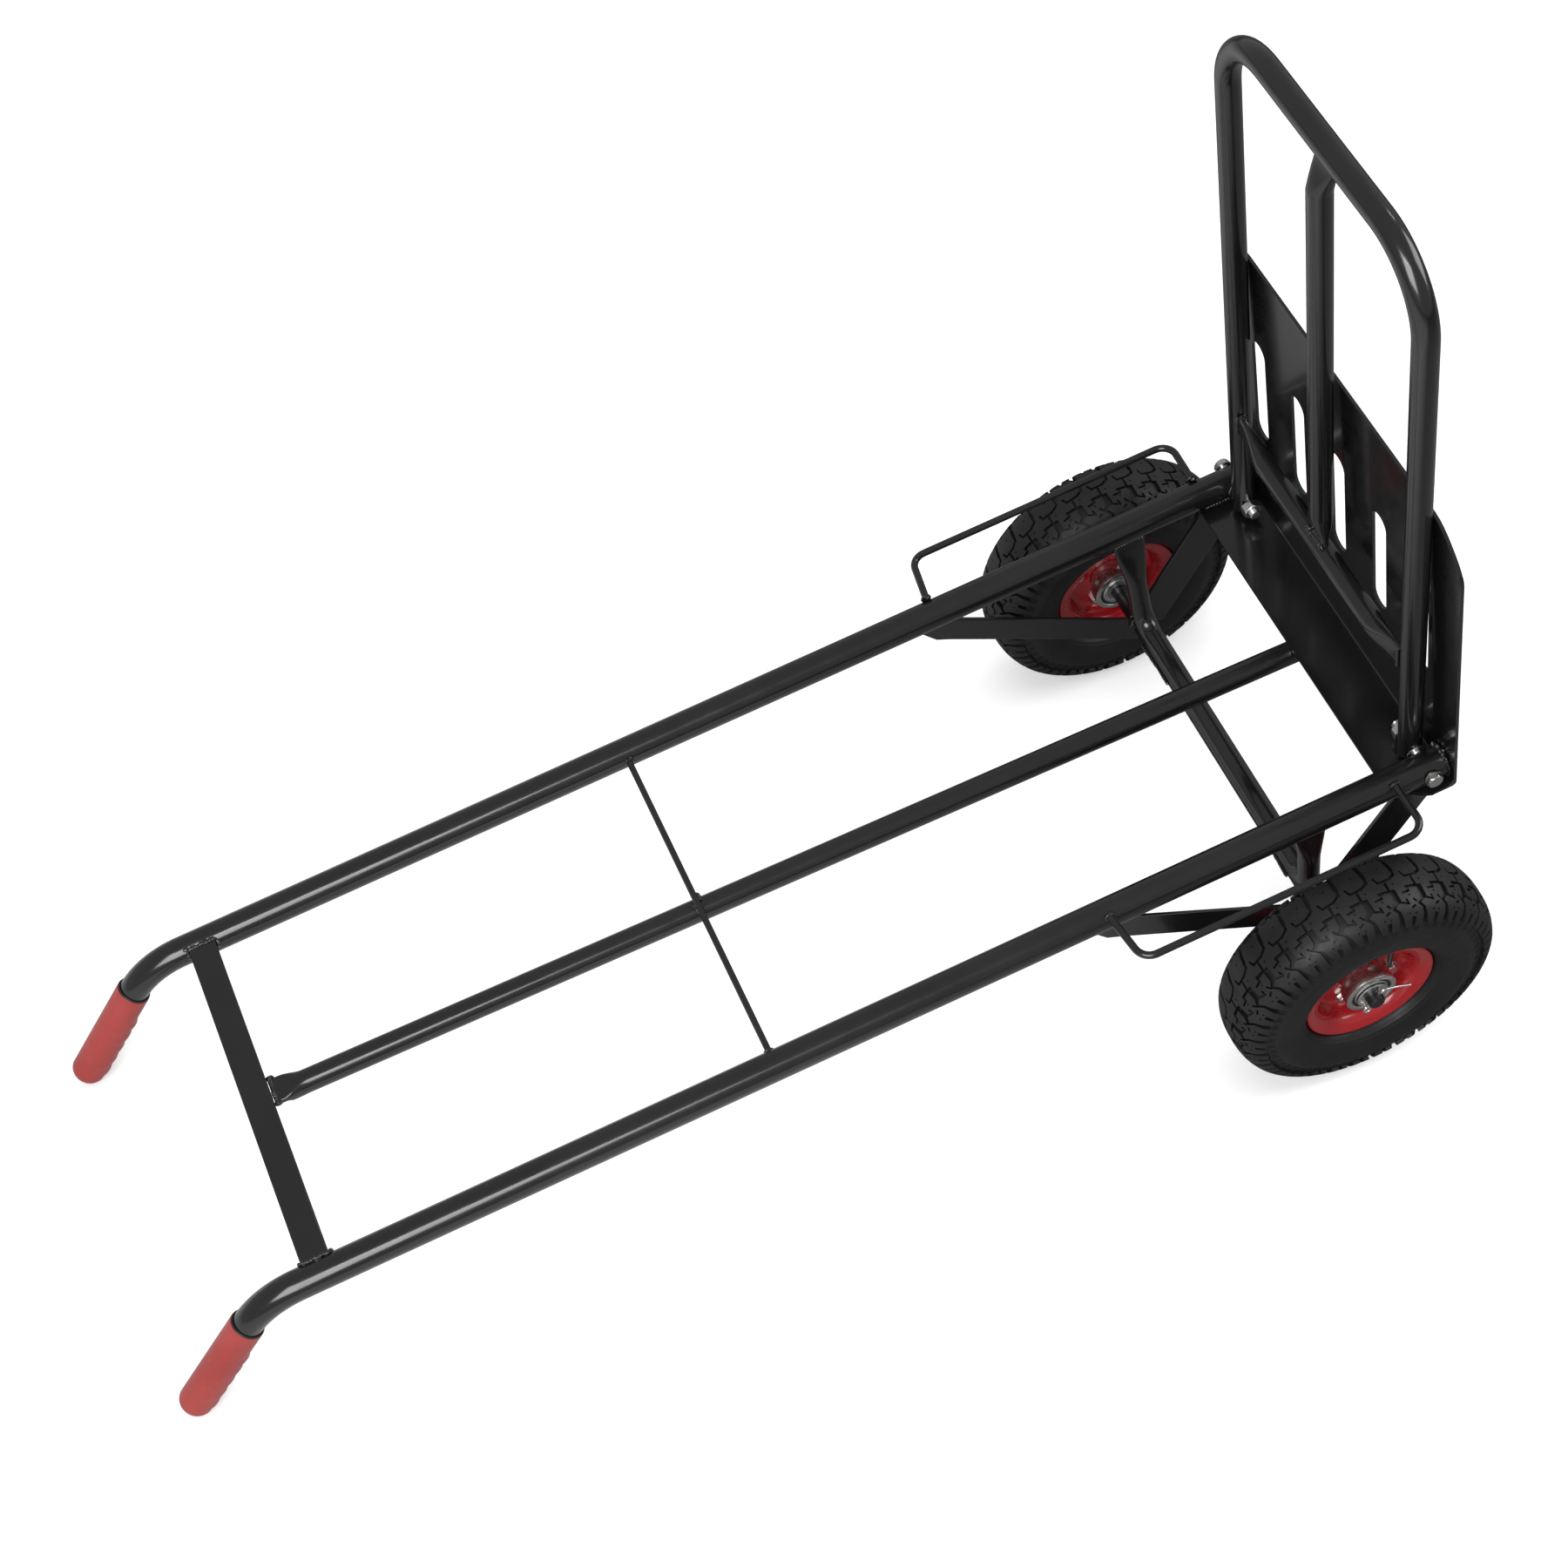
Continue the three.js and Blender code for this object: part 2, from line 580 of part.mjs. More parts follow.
// A rod parallel to the axle at bolt k's place on the bolt circle.
function rimRod(k, y0, y1, radius) {
  const angle = degToRad(RIM_BOLT_START + (360 / RIM_BOLT_COUNT) * k);
  const x = RIM_BOLT_CIRCLE_R * Math.cos(angle);
  const z = -RIM_BOLT_CIRCLE_R * Math.sin(angle);
  return rod(vec(x, y0, z), vec(x, y1, z), radius, 6);
}

// A rod in the valve stem's radial plane, between two [radius, y] places.
function stemRod(start, end, radius, segments) {
  const at = ([reach, y]) => vec(reach * Math.cos(STEM_ANGLE), y, reach * Math.sin(STEM_ANGLE));
  return rod(at(start), at(end), radius, segments);
}

// [mesh name without its side, solid, material] of each piece of a left wheel.
function wheelPieces() {
  const holes = Array.from({ length: RIM_BOLT_COUNT }, (_, k) => rimRod(k, -12, 12, 3.4));
  const drilled = (shape) => holes.reduce((rest, hole) => rest.subtract(hole), shape);
  const tyre = [
    ...TYRE_OUTSIDE, ...flipped(TYRE_OUTSIDE), ...flipped(TYRE_INSIDE), ...TYRE_INSIDE,
  ];
  const rim = turned(RIM_HALF, 20);
  const stemHole = stemRod([54, 10], [38, 22], 4.6, 6);
  const bearing = ring(AXLE_BORE_R, BEARING_R, ...BEARING_Y, 16);
  const pieces = [
    ["tyre", turned(tyre, 20), rubber],
    ["rim_outer", drilled(rim).subtract(stemHole), red],
    ["rim_inner", drilled(mirrored(rim)), red],
    ["valve_stem", stemRod([46.5, 15.6], [35.6, 23.8], 3.2, 8), rubber],
    ["hub", drilled(turned([...HUB_HALF, ...flipped(HUB_HALF)], 16)), zinc],
    ["bearing_outer", bearing, steel],
    ["bearing_inner", mirrored(bearing), steel],
  ];
  holes.forEach((hole, k) => {
    const bolt = rimRod(k, 6.6, 11, RIM_HEAD_R).add(rimRod(k, -11.4, 7, 3));
    const nut = rimRod(k, -10.6, -6.6, RIM_HEAD_R).subtract(hole);
    pieces.push([`rim_bolt_${k + 1}`, bolt, zinc], [`rim_nut_${k + 1}`, nut, zinc]);
  });
  return pieces;
}

// A split pin at y = 0: an eye, a shank through the axle and a leg bent in two lengths.
function splitPin() {
  const eyeCentre = pinPoint(-15.2);
  return rod(pinPoint(-11), pinPoint(13), 1.6, 6)
    .add(ring(2.2, 4.8, -1.4, 1.4, 8).translate([eyeCentre.x, 0, eyeCentre.z]))
    .add(rod(pinPoint(11.4), vec(24, 0, 3.3), 1.3, 6))
    .add(rod(vec(23.4, 0, 3.6), vec(35.7, 0, -3.9), 1.1, 6));
}

function groupAtWheel(side) {
  const group = new THREE.Group();
  group.position.set(AXLE_X, side * WHEEL_Y, AXLE_Z);
  truck.add(group);
  return group;
}

// Each wheel turns in its own group; its washer and split pin stay with the axle.
const leftPieces = wheelPieces();
const axleWasher = ring(AXLE_BORE_R, 17, 30.5, 33, 12);
const wheels = [[1, "left"], [-1, "right"]].map(([side, name]) => {
  const handed = (shape) => (side > 0 ? shape : mirrored(shape));
  const wheel = groupAtWheel(side);
  wheel.name = "wheel_" + name;
  for (const [piece, shape, material] of leftPieces) {
    add(wheel, `${piece}_${name}`, handed(shape), material);
  }
  const fixed = groupAtWheel(side);
  add(fixed, "axle_washer_" + name, handed(axleWasher), zinc);
  add(fixed, "split_pin_" + name, splitPin().translate([0, side * PIN_OUTBOARD, 0]), zinc);
  return wheel;
});

// ---- set it down on its tyres and grips ----
const gripPoints = gripMesh.geometry.attributes.position;
const heightAt = (x, z, tilt) => x * Math.sin(tilt) + z * Math.cos(tilt);
const tyreLow = (tilt) => heightAt(AXLE_X, AXLE_Z, tilt) - TYRE_R;

function gripLow(tilt) {
  let low = Infinity;
  for (let i = 0; i < gripPoints.count; i++) {
    low = Math.min(low, heightAt(gripPoints.getX(i), gripPoints.getZ(i), tilt));
  }
  return low;
}

// Halves the range of tilts, in radians, until grips and tyres are level.
function restingTilt() {
  let under = 0;
  let over = 0.4;
  for (let i = 0; i < 60; i++) {
    const middle = (under + over) / 2;
    if (gripLow(middle) > tyreLow(middle)) under = middle;
    else over = middle;
  }
  return under;
}

const tilt = restingTilt();
truck.rotation.y = -tilt;
// a tread facet's corner points straight down
for (const wheel of wheels) wheel.rotation.y = tilt;
root.updateMatrixWorld(true);
const bounds = new THREE.Box3().setFromObject(root, true);
truck.position.set(-(bounds.min.x + bounds.max.x) / 2, 0, -tyreLow(tilt));

export default root;
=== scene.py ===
import json
import math

import bmesh
import bpy
import numpy as np
from mathutils import Matrix, Vector
from mathutils.geometry import delaunay_2d_cdt

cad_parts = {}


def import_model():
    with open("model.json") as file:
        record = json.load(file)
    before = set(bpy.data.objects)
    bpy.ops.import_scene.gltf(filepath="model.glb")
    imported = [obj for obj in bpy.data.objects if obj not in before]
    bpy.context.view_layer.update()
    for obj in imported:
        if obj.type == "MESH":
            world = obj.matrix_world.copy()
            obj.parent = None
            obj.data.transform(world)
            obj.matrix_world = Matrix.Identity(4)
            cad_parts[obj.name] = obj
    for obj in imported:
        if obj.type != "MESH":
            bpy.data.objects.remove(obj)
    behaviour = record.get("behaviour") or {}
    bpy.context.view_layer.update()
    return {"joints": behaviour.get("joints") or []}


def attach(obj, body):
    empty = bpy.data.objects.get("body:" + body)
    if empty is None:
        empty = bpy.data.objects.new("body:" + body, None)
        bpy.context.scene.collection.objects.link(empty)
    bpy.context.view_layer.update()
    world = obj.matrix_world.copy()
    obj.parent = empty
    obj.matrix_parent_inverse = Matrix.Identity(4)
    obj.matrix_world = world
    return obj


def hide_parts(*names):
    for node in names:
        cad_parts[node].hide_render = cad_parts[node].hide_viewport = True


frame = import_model()

# ---------------------------------------------------------------- truck axes
# u runs along the rails to the toe plate, v across to the left rail, w out of
# the load side; millimetres. The truck lies tilted on its tyres and grips.
AXLE = (-112.0, -154.0)
PIVOT = (-2.0, 3.0)
WHEEL_V = 257.0
spots = {j["name"]: j["pos_m"] for j in frame["joints"]}
hub0, piv0 = spots["left_wheel_spin"], spots["toe_loop_fold"]
TILT = math.atan2(piv0[2] - hub0[2], piv0[0] - hub0[0]) - math.atan2(PIVOT[1] - AXLE[1], PIVOT[0] - AXLE[0])
U = np.array([math.cos(TILT), 0, math.sin(TILT)])
V = np.array([0.0, 1, 0])
W = np.array([-math.sin(TILT), 0, math.cos(TILT)])
BASIS = np.stack([U, V, W])
ORIGIN = np.array([piv0[0], 0, piv0[2]]) - (PIVOT[0] * U + PIVOT[1] * W) / 1000.0
rng = np.random.default_rng(7)


def world(p):
    return ORIGIN + np.asarray(p, float).reshape(-1, 3) @ BASIS / 1000.0


# ---------------------------------------------------------------- materials
def nodes_of(name):
    m = bpy.data.materials.new(name)
    m.use_nodes = True
    nt = m.node_tree
    return m, nt, nt.nodes["Principled BSDF"]


def noise(nt, co, scale, detail=3.0, rough=0.55, w=None):
    n = nt.nodes.new("ShaderNodeTexNoise")
    n.inputs["Scale"].default_value = scale
    n.inputs["Detail"].default_value = detail
    n.inputs["Roughness"].default_value = rough
    nt.links.new(co, n.inputs["Vector"])
    return n.outputs["Fac"]


def ramp(nt, fac, stops):
    r = nt.nodes.new("ShaderNodeValToRGB")
    while len(r.color_ramp.elements) < len(stops):
        r.color_ramp.elements.new(0.5)
    for e, (pos, col) in zip(r.color_ramp.elements, stops):
        e.position = pos
        e.color = (*col, 1) if len(col) == 3 else col
    nt.links.new(fac, r.inputs["Fac"])
    return r.outputs["Color"]


def maprange(nt, fac, a, b, c, d):
    r = nt.nodes.new("ShaderNodeMapRange")
    for k, x in zip(("From Min", "From Max", "To Min", "To Max"), (a, b, c, d)):
        r.inputs[k].default_value = x
    nt.links.new(fac, r.inputs["Value"])
    return r.outputs["Result"]


def mixc(nt, fac, a, b, mode="MIX"):
    m = nt.nodes.new("ShaderNodeMix")
    m.data_type = "RGBA"
    m.blend_type = mode
    for sock, x in ((m.inputs["Factor"], fac), (m.inputs["A"], a), (m.inputs["B"], b)):
        if isinstance(x, (int, float)):
            sock.default_value = x
        elif isinstance(x, tuple):
            sock.default_value = (*x, 1)
        else:
            nt.links.new(x, sock)
    return m.outputs["Result"]


def mul(nt, a, b, op="MULTIPLY"):
    m = nt.nodes.new("ShaderNodeMath")
    m.operation = op
    for i, x in enumerate((a, b)):
        if isinstance(x, (int, float)):
            m.inputs[i].default_value = x
        else:
            nt.links.new(x, m.inputs[i])
    return m.outputs[0]


def bump(nt, height, strength, dist, normal=None):
    b = nt.nodes.new("ShaderNodeBump")
    b.inputs["Strength"].default_value = strength
    b.inputs["Distance"].default_value = dist
    nt.links.new(height, b.inputs["Height"])
    if normal is not None:
        nt.links.new(normal, b.inputs["Normal"])
    return b.outputs["Normal"]


def obj_co(nt, scale=None):
    t = nt.nodes.new("ShaderNodeTexCoord")
    if scale is None:
        return t.outputs["Object"]
    m = nt.nodes.new("ShaderNodeMapping")
    m.inputs["Scale"].default_value = scale
    nt.links.new(t.outputs["Object"], m.inputs["Vector"])
    return m.outputs["Vector"]


def attr(nt, name):
    a = nt.nodes.new("ShaderNodeAttribute")
    a.attribute_name = name
    return a.outputs["Fac"]


def painted(name, dark, light, scuff, rough=(0.2, 0.3), coat=0.5, peel=0.3, metal=0.0, wave=0.15):
    """Powder coat or enamel: orange peel, uneven gloss, faint dust and rubbed marks."""
    m, nt, b = nodes_of(name)
    co = obj_co(nt)
    tone = ramp(nt, noise(nt, co, 9, 4), [(0.35, dark), (0.65, light)])
    fleck = maprange(nt, noise(nt, co, 900, 2), 0.6, 0.75, 0, 1)
    tone = mixc(nt, mul(nt, fleck, 0.10), tone, scuff)
    rub = noise(nt, obj_co(nt, (18, 60, 60)), 3.2, 8, 0.7)
    patch = maprange(nt, noise(nt, co, 5, 3), 0.5, 0.72, 0, 1)
    mark = mul(nt, maprange(nt, rub, 0.60, 0.72, 0, 1), patch)
    tone = mixc(nt, mul(nt, mark, 0.12), tone, scuff)
    nt.links.new(tone, b.inputs["Base Color"])
    r = maprange(nt, noise(nt, co, 45, 5), 0.3, 0.7, rough[0], rough[1])
    r = mul(nt, r, mul(nt, mark, 0.06), "ADD")
    nt.links.new(r, b.inputs["Roughness"])
    b.inputs["Metallic"].default_value = metal
    b.inputs["Coat Weight"].default_value = coat
    b.inputs["Coat Roughness"].default_value = 0.1
    n = bump(nt, noise(nt, co, 420, 2), peel, 0.0001)
    n = bump(nt, noise(nt, co, 60, 2), wave, 0.0002, n)
    nt.links.new(n, b.inputs["Normal"])
    return m


def rubber(name, dark, light, dust):
    """Moulded tyre rubber: matt, with dust specks, a faint bloom, and painted shade darkening the groove floors and pin
    holes.
    """
    m, nt, b = nodes_of(name)
    co = obj_co(nt)
    tone = ramp(nt, noise(nt, co, 26, 5), [(0.3, dark), (0.7, light)])
    speck = maprange(nt, noise(nt, co, 650, 3), 0.58, 0.72, 0, 1)
    tone = mixc(nt, mul(nt, speck, 0.12), tone, dust)
    # painted shade: marked vertices (groove floors and pin holes of the tread) darken towards a third of the dark tone
    g = attr(nt, "painted_shade")
    tone = mixc(nt, mul(nt, g, 0.8), tone, tuple(x * 0.3 for x in dark))
    bloom = maprange(nt, noise(nt, co, 12, 4), 0.45, 0.75, 0, 0.1)
    tone = mixc(nt, bloom, tone, dust)
    nt.links.new(tone, b.inputs["Base Color"])
    nt.links.new(maprange(nt, noise(nt, co, 80, 4), 0.3, 0.7, 0.42, 0.56), b.inputs["Roughness"])
    b.inputs["Specular IOR Level"].default_value = 0.42
    n = bump(nt, noise(nt, co, 900, 3), 0.35, 0.00015)
    n = bump(nt, noise(nt, co, 130, 3), 0.3, 0.0003, n)
    nt.links.new(n, b.inputs["Normal"])
    return m


def vinyl(name, dark, light, lip):
    m, nt, b = nodes_of(name)
    co = obj_co(nt)
    tone = ramp(nt, noise(nt, co, 22, 4), [(0.3, dark), (0.7, light)])
    # painted shade: the marked mouth rings of the sleeve mix towards the dark lip colour
    tone = mixc(nt, mul(nt, attr(nt, "painted_shade"), 0.85), tone, lip)
    nt.links.new(tone, b.inputs["Base Color"])
    nt.links.new(maprange(nt, noise(nt, co, 130, 4), 0.3, 0.7, 0.36, 0.52), b.inputs["Roughness"])
    b.inputs["Subsurface Weight"].default_value = 0.08
    b.inputs["Subsurface Radius"].default_value = (0.006, 0.002, 0.002)
    b.inputs["Sheen Weight"].default_value = 0.06
    b.inputs["Sheen Roughness"].default_value = 0.4
    v = nt.nodes.new("ShaderNodeTexVoronoi")
    v.inputs["Scale"].default_value = 900
    nt.links.new(co, v.inputs["Vector"])
    n = bump(nt, v.outputs["Distance"], 0.12, 0.0002)
    n = bump(nt, noise(nt, co, 240, 2), 0.2, 0.0002, n)
    nt.links.new(n, b.inputs["Normal"])
    return m


def plated(name, dark, light, rough=(0.2, 0.36), streak=(1, 1, 1), tint=None):
    """Zinc plate or ground steel: fine spangle, a fine grain bump (stretched only when streak is given) and dull
    patches.
    """
    m, nt, b = nodes_of(name)
    co = obj_co(nt)
    tone = ramp(nt, noise(nt, co, 90, 5), [(0.3, dark), (0.7, light)])
    if tint:
        tone = mixc(nt, maprange(nt, noise(nt, co, 40, 3), 0.5, 0.8, 0, 0.5), tone, tint)
    nt.links.new(tone, b.inputs["Base Color"])
    b.inputs["Metallic"].default_value = 1.0
    nt.links.new(maprange(nt, noise(nt, co, 300, 4), 0.3, 0.7, *rough), b.inputs["Roughness"])
    n = bump(nt, noise(nt, obj_co(nt, streak), 700, 3), 0.08, 0.0001)
    nt.links.new(n, b.inputs["Normal"])
    return m


BLACK = painted("black_powder_coat", (0.0052, 0.0052, 0.0058), (0.0080, 0.0080, 0.0088), (0.03, 0.03, 0.03), rough=(0.17, 0.25), coat=0.6, peel=0.12, wave=0.05)
WELD = painted("black_weld", (0.0055, 0.0055, 0.006), (0.010, 0.010, 0.0105), (0.05, 0.05, 0.048), rough=(0.18, 0.3), coat=0.7, peel=0.5)
RED = painted("red_enamel", (0.36, 0.006, 0.010), (0.44, 0.009, 0.014), (0.5, 0.06, 0.06), rough=(0.2, 0.3), coat=0.7, peel=0.03, wave=0.02)
GRIP = vinyl("red_vinyl", (0.34, 0.036, 0.031), (0.41, 0.052, 0.046), (0.06, 0.006, 0.006))
TYRE = rubber("tyre_rubber", (0.0068, 0.0068, 0.0070), (0.0110, 0.0110, 0.0112), (0.036, 0.036, 0.034))
SEAL = rubber("black_rubber", (0.012, 0.012, 0.013), (0.02, 0.02, 0.021), (0.05, 0.05, 0.05))
ZINC = plated("zinc_plate", (0.64, 0.64, 0.63), (0.76, 0.76, 0.74), rough=(0.24, 0.34), tint=(0.68, 0.67, 0.60))
STEEL = plated("ground_steel", (0.30, 0.30, 0.31), (0.46, 0.46, 0.47), rough=(0.26, 0.42))
DARKSTEEL = plated("axle_steel", (0.05, 0.05, 0.052), (0.10, 0.10, 0.105), rough=(0.3, 0.45))
# near-black stand-in for the shaded inside of a tube: painted shade; no mesh uses it
VOID = rubber("tube_inside", (0.004, 0.004, 0.004), (0.006, 0.006, 0.006), (0.012, 0.012, 0.012))


# ---------------------------------------------------------------- mesh tools
class Geo:
    """Gathers closed pieces, in truck millimetres, into one object."""

    def __init__(self):
        self.v, self.f, self.m, self.g, self.n = [], [], [], [], 0

    def add(self, verts, faces, mat=0, painted_shade=None):
        verts = np.asarray(verts, float).reshape(-1, 3)
        self.v.append(verts)
        self.g.append(np.zeros(len(verts)) if painted_shade is None else np.asarray(painted_shade, float))
        self.f += [tuple(int(i) + self.n for i in f) for f in faces]
        self.m += [mat] * len(faces)
        self.n += len(verts)
        return self

    def build(self, name, mats, body, replaces=(), smooth=32.0, bevel=0.0, flip=True):
        me = bpy.data.meshes.new(name)
        v = np.concatenate(self.v)
        me.from_pydata(world(v).tolist(), [], self.f)
        for m in mats:
            me.materials.append(m)
        me.polygons.foreach_set("material_index", np.array(self.m, np.int32))
        a = me.attributes.new("painted_shade", "FLOAT", "POINT")
        a.data.foreach_set("value", np.concatenate(self.g).astype(np.float32))
        if flip:
            bm = bmesh.new()
            bm.from_mesh(me)
            bmesh.ops.recalc_face_normals(bm, faces=bm.faces)
            bm.to_mesh(me)
            bm.free()
        me.update()
        me.shade_smooth()
        me.set_sharp_from_angle(angle=math.radians(smooth))
        ob = bpy.data.objects.new(name, me)
        bpy.context.scene.collection.objects.link(ob)
        if bevel:
            b = ob.modifiers.new("edge", "BEVEL")
            b.width = bevel / 1000.0
            b.segments = 2
            b.limit_method = "ANGLE"
            b.angle_limit = math.radians(34)
            b.harden_normals = False
        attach(ob, body)
        if replaces:
            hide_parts(*replaces)
        return ob


def unit(x):
    x = np.asarray(x, float)
    return x / np.linalg.norm(x)


def route(points, radii, steps=16, straight=0):
    """Points and tangents along a polyline with rounded corners."""
    pts = [np.asarray(p, float) for p in points]
    P, T = [], []
    for i, p in enumerate(pts):
        r = radii[i] if i < len(radii) else 0
        if i in (0, len(pts) - 1) or not r:
            d = pts[1] - p if i == 0 else p - pts[i - 1]
            P.append(p)
            T.append(unit(d))
            continue
        a, b = unit(p - pts[i - 1]), unit(pts[i + 1] - p)
        turn = math.acos(max(-1, min(1, a @ b)))
        reach = r * math.tan(turn / 2)
        start = p - a * reach
        inward = unit(b - a * (a @ b))
        c = start + inward * r
        for k in range(steps + 1):
            q = turn * k / steps
            P.append(c - inward * r * math.cos(q) + a * r * math.sin(q))
            T.append(a * math.cos(q) + inward * math.sin(q))
    return np.array(P), np.array(T)


def fill(P, T, step):
    """Adds stations so that none are further apart than step."""
    P2, T2 = [P[0]], [T[0]]
    for i in range(1, len(P)):
        d = np.linalg.norm(P[i] - P[i - 1])
        n = max(1, int(math.ceil(d / step)))
        for k in range(1, n + 1):
            t = k / n
            P2.append(P[i - 1] * (1 - t) + P[i] * t)
            T2.append(unit(T[i - 1] * (1 - t) + T[i] * t))
    return np.array(P2), np.array(T2)


def lengths(P):
    return np.concatenate([[0], np.cumsum(np.linalg.norm(np.diff(P, axis=0), axis=1))])


def oval(a, b, n=40, p=2.0):
    q = np.arange(n) * 2 * math.pi / n
    c, s = np.cos(q), np.sin(q)
    return np.stack([a * np.sign(c) * np.abs(c) ** (2 / p), b * np.sign(s) * np.abs(s) ** (2 / p)], 1)


def sweep(P, T, side, sec, cap=True):
    """Sweeps sections: first coordinate in the path's plane, second along side."""
    side = np.asarray(side, float)
    n = len(P)
    rings = []
    for i in range(n):
        t = T[i]
        across = unit(side - t * (side @ t))
        inplane = np.cross(across, t)
        s = sec(i) if callable(sec) else sec
        rings.append(P[i] + s[:, :1] * inplane + s[:, 1:2] * across)
    m = len(rings[0])
    v = np.concatenate(rings)
    f = []
    for i in range(n - 1):
        for j in range(m):
            k = (j + 1) % m
            f.append((i * m + j, i * m + k, (i + 1) * m + k, (i + 1) * m + j))
    if cap:
        f.append(tuple(range(m - 1, -1, -1)))
        f.append(tuple((n - 1) * m + j for j in range(m)))
    return v, f


def turned(profile, centre, seg=64, axis=(0, 1, 0), ref=(1, 0, 0), closed=True):
    """Turns [radius, height] points about an axis; a closed profile makes a ring."""
    ax, e1 = unit(axis), unit(ref)
    e2 = np.cross(ax, e1)
    prof = np.asarray(profile, float)
    q = np.arange(seg) * 2 * math.pi / seg
    v = []
    for a in q:
        d = math.cos(a) * e1 + math.sin(a) * e2
        v.append(np.asarray(centre, float) + prof[:, :1] * d + prof[:, 1:2] * ax)
    v = np.concatenate(v)
    m = len(prof)
    f = []
    for i in range(seg):
        k = (i + 1) % seg
        for j in range(m if closed else m - 1):
            l = (j + 1) % m
            f.append((i * m + j, i * m + l, k * m + l, k * m + j))
    if not closed:
        for j in (0, m - 1):
            f.append(tuple(i * m + j for i in range(seg)))
    return v, f


def spline(profile, per=6):
    """Catmull-Rom through an open list of points."""
    p = np.asarray(profile, float)
    q = np.concatenate([[2 * p[0] - p[1]], p, [2 * p[-1] - p[-2]]])
    out = []
    for i in range(1, len(q) - 2):
        for k in range(per):
            t = k / per
            a, b, c, d = q[i - 1], q[i], q[i + 1], q[i + 2]
            out.append(0.5 * (2 * b + (c - a) * t + (2 * a - 5 * b + 4 * c - d) * t * t + (3 * b - a - 3 * c + d) * t ** 3))
    out.append(p[-1])
    return np.array(out)


def hexhead(base, axis, flats, h, ref=(1, 0, 0), seg=48, dome=0.0):
    """A hexagon with its outer corners turned off, standing on base."""
    ax = unit(axis)
    e1 = unit(np.asarray(ref, float) - ax * (np.asarray(ref, float) @ ax))
    e2 = np.cross(ax, e1)
    q = np.arange(seg) * 2 * math.pi / seg
    hexr = flats / 2 / np.cos((q + math.pi / 6) % (math.pi / 3) - math.pi / 6)
    levels = [(0, 9e9), (h - 2.2, 9e9)] + [(h - 2.2 + 2.2 * k / 5, flats / 2 * 0.95 + (2.2 - 2.2 * k / 5) * 0.9) for k in range(1, 6)]
    v = []
    for z, lim in levels:
        r = np.minimum(hexr, lim)
        v.append(np.asarray(base, float) + r[:, None] * (np.cos(q)[:, None] * e1 + np.sin(q)[:, None] * e2) + z * ax)
    v = np.concatenate(v)
    n = len(levels)
    f = [tuple(range(seg))]
    for i in range(n - 1):
        for j in range(seg):
            k = (j + 1) % seg
            f.append((i * seg + j, i * seg + k, (i + 1) * seg + k, (i + 1) * seg + j))
    f.append(tuple((n - 1) * seg + j for j in range(seg)))
    return v, f


def bead(path, r, ripple=2.6, seed=0, closed=False, flat=1.0):
    """A weld bead: an uneven rippled roll along a path, tapered at open ends."""
    P = np.asarray(path, float)
    T = np.gradient(P, axis=0)
    T = np.array([unit(t) for t in T])
    P, T = fill(P, T, 0.8)
    s = lengths(P)
    g = np.random.default_rng(seed + 100)
    ph = g.uniform(0, 6)
    wob = np.interp(s, np.arange(0, s[-1] + 8, 4), g.uniform(0.82, 1.18, len(np.arange(0, s[-1] + 8, 4))))
    rad = r * wob * (1 + 0.14 * np.sin(2 * math.pi * s / ripple + ph))
    if not closed:
        end = np.minimum(s, s[-1] - s)
        rad = rad * np.sqrt(np.clip(end / (1.6 * r), 0.02, 1))
    side = np.array([0.31, 0.42, 0.85])
    return sweep(P, T, side, lambda i: oval(rad[i], rad[i] * flat, 12))


def blob(c, r, seed=0, stretch=(1, 1, 1)):
    """A small uneven drop of weld metal."""
    g = np.random.default_rng(seed + 500)
    ph, am = g.uniform(0, 6.28, (5, 3)), g.uniform(0.03, 0.12, 5)
    nu, nv = 18, 10
    v = []
    for i in range(nv + 1):
        th = math.pi * i / nv
        for j in range(nu):
            a = 2 * math.pi * j / nu
            d = np.array([math.sin(th) * math.cos(a), math.sin(th) * math.sin(a), math.cos(th)])
            k = 1 + sum(am[q] * math.sin(3.1 * (d @ np.array([math.cos(ph[q, 0]), math.sin(ph[q, 1]), math.cos(ph[q, 2])])) * (q + 1) + ph[q, 0]) for q in range(5))
            v.append(np.asarray(c, float) + r * k * d * np.asarray(stretch, float))
    f = []
    for i in range(nv):
        for j in range(nu):
            k = (j + 1) % nu
            f.append((i * nu + j, (i + 1) * nu + j, (i + 1) * nu + k, i * nu + k))
    return np.array(v), f


def ringpath(centre, axis, ra, rb=None, a0=0, a1=360, n=40, ref=(0, 0, 1)):
    ax = unit(axis)
    e1 = unit(np.asarray(ref, float) - ax * (np.asarray(ref, float) @ ax))
    e2 = np.cross(ax, e1)
    q = np.radians(np.linspace(a0, a1, n))
    rb = ra if rb is None else rb
    return np.asarray(centre, float) + ra * np.cos(q)[:, None] * e1 + rb * np.sin(q)[:, None] * e2


def slab(outline, origin, e1, e2, e3, t0, t1):
    """A flat outline given thickness: outline in (e1, e2), from t0 to t1 along e3."""
    o = np.asarray(outline, float)
    n = len(o)
    base = np.asarray(origin, float) + o[:, :1] * np.asarray(e1, float) + o[:, 1:2] * np.asarray(e2, float)
    e3 = np.asarray(e3, float)
    v = np.concatenate([base + t0 * e3, base + t1 * e3])
    f = [tuple(range(n - 1, -1, -1)), tuple(range(n, 2 * n))]
    f += [(j, (j + 1) % n, n + (j + 1) % n, n + j) for j in range(n)]
    return v, f


# ---------------------------------------------------------------- frame tubes
RAIL_R, RAIL_V = 14.0, 184.0
HD = math.radians(48)
hdir = np.array([-math.cos(HD), 0, -math.sin(HD)])
BEND = 75.0
corner = np.array([-1112.8, 0, 0.0])
MOUTH = BEND * math.tan(HD / 2) + 1.5
GRIP_LEN = 128.0

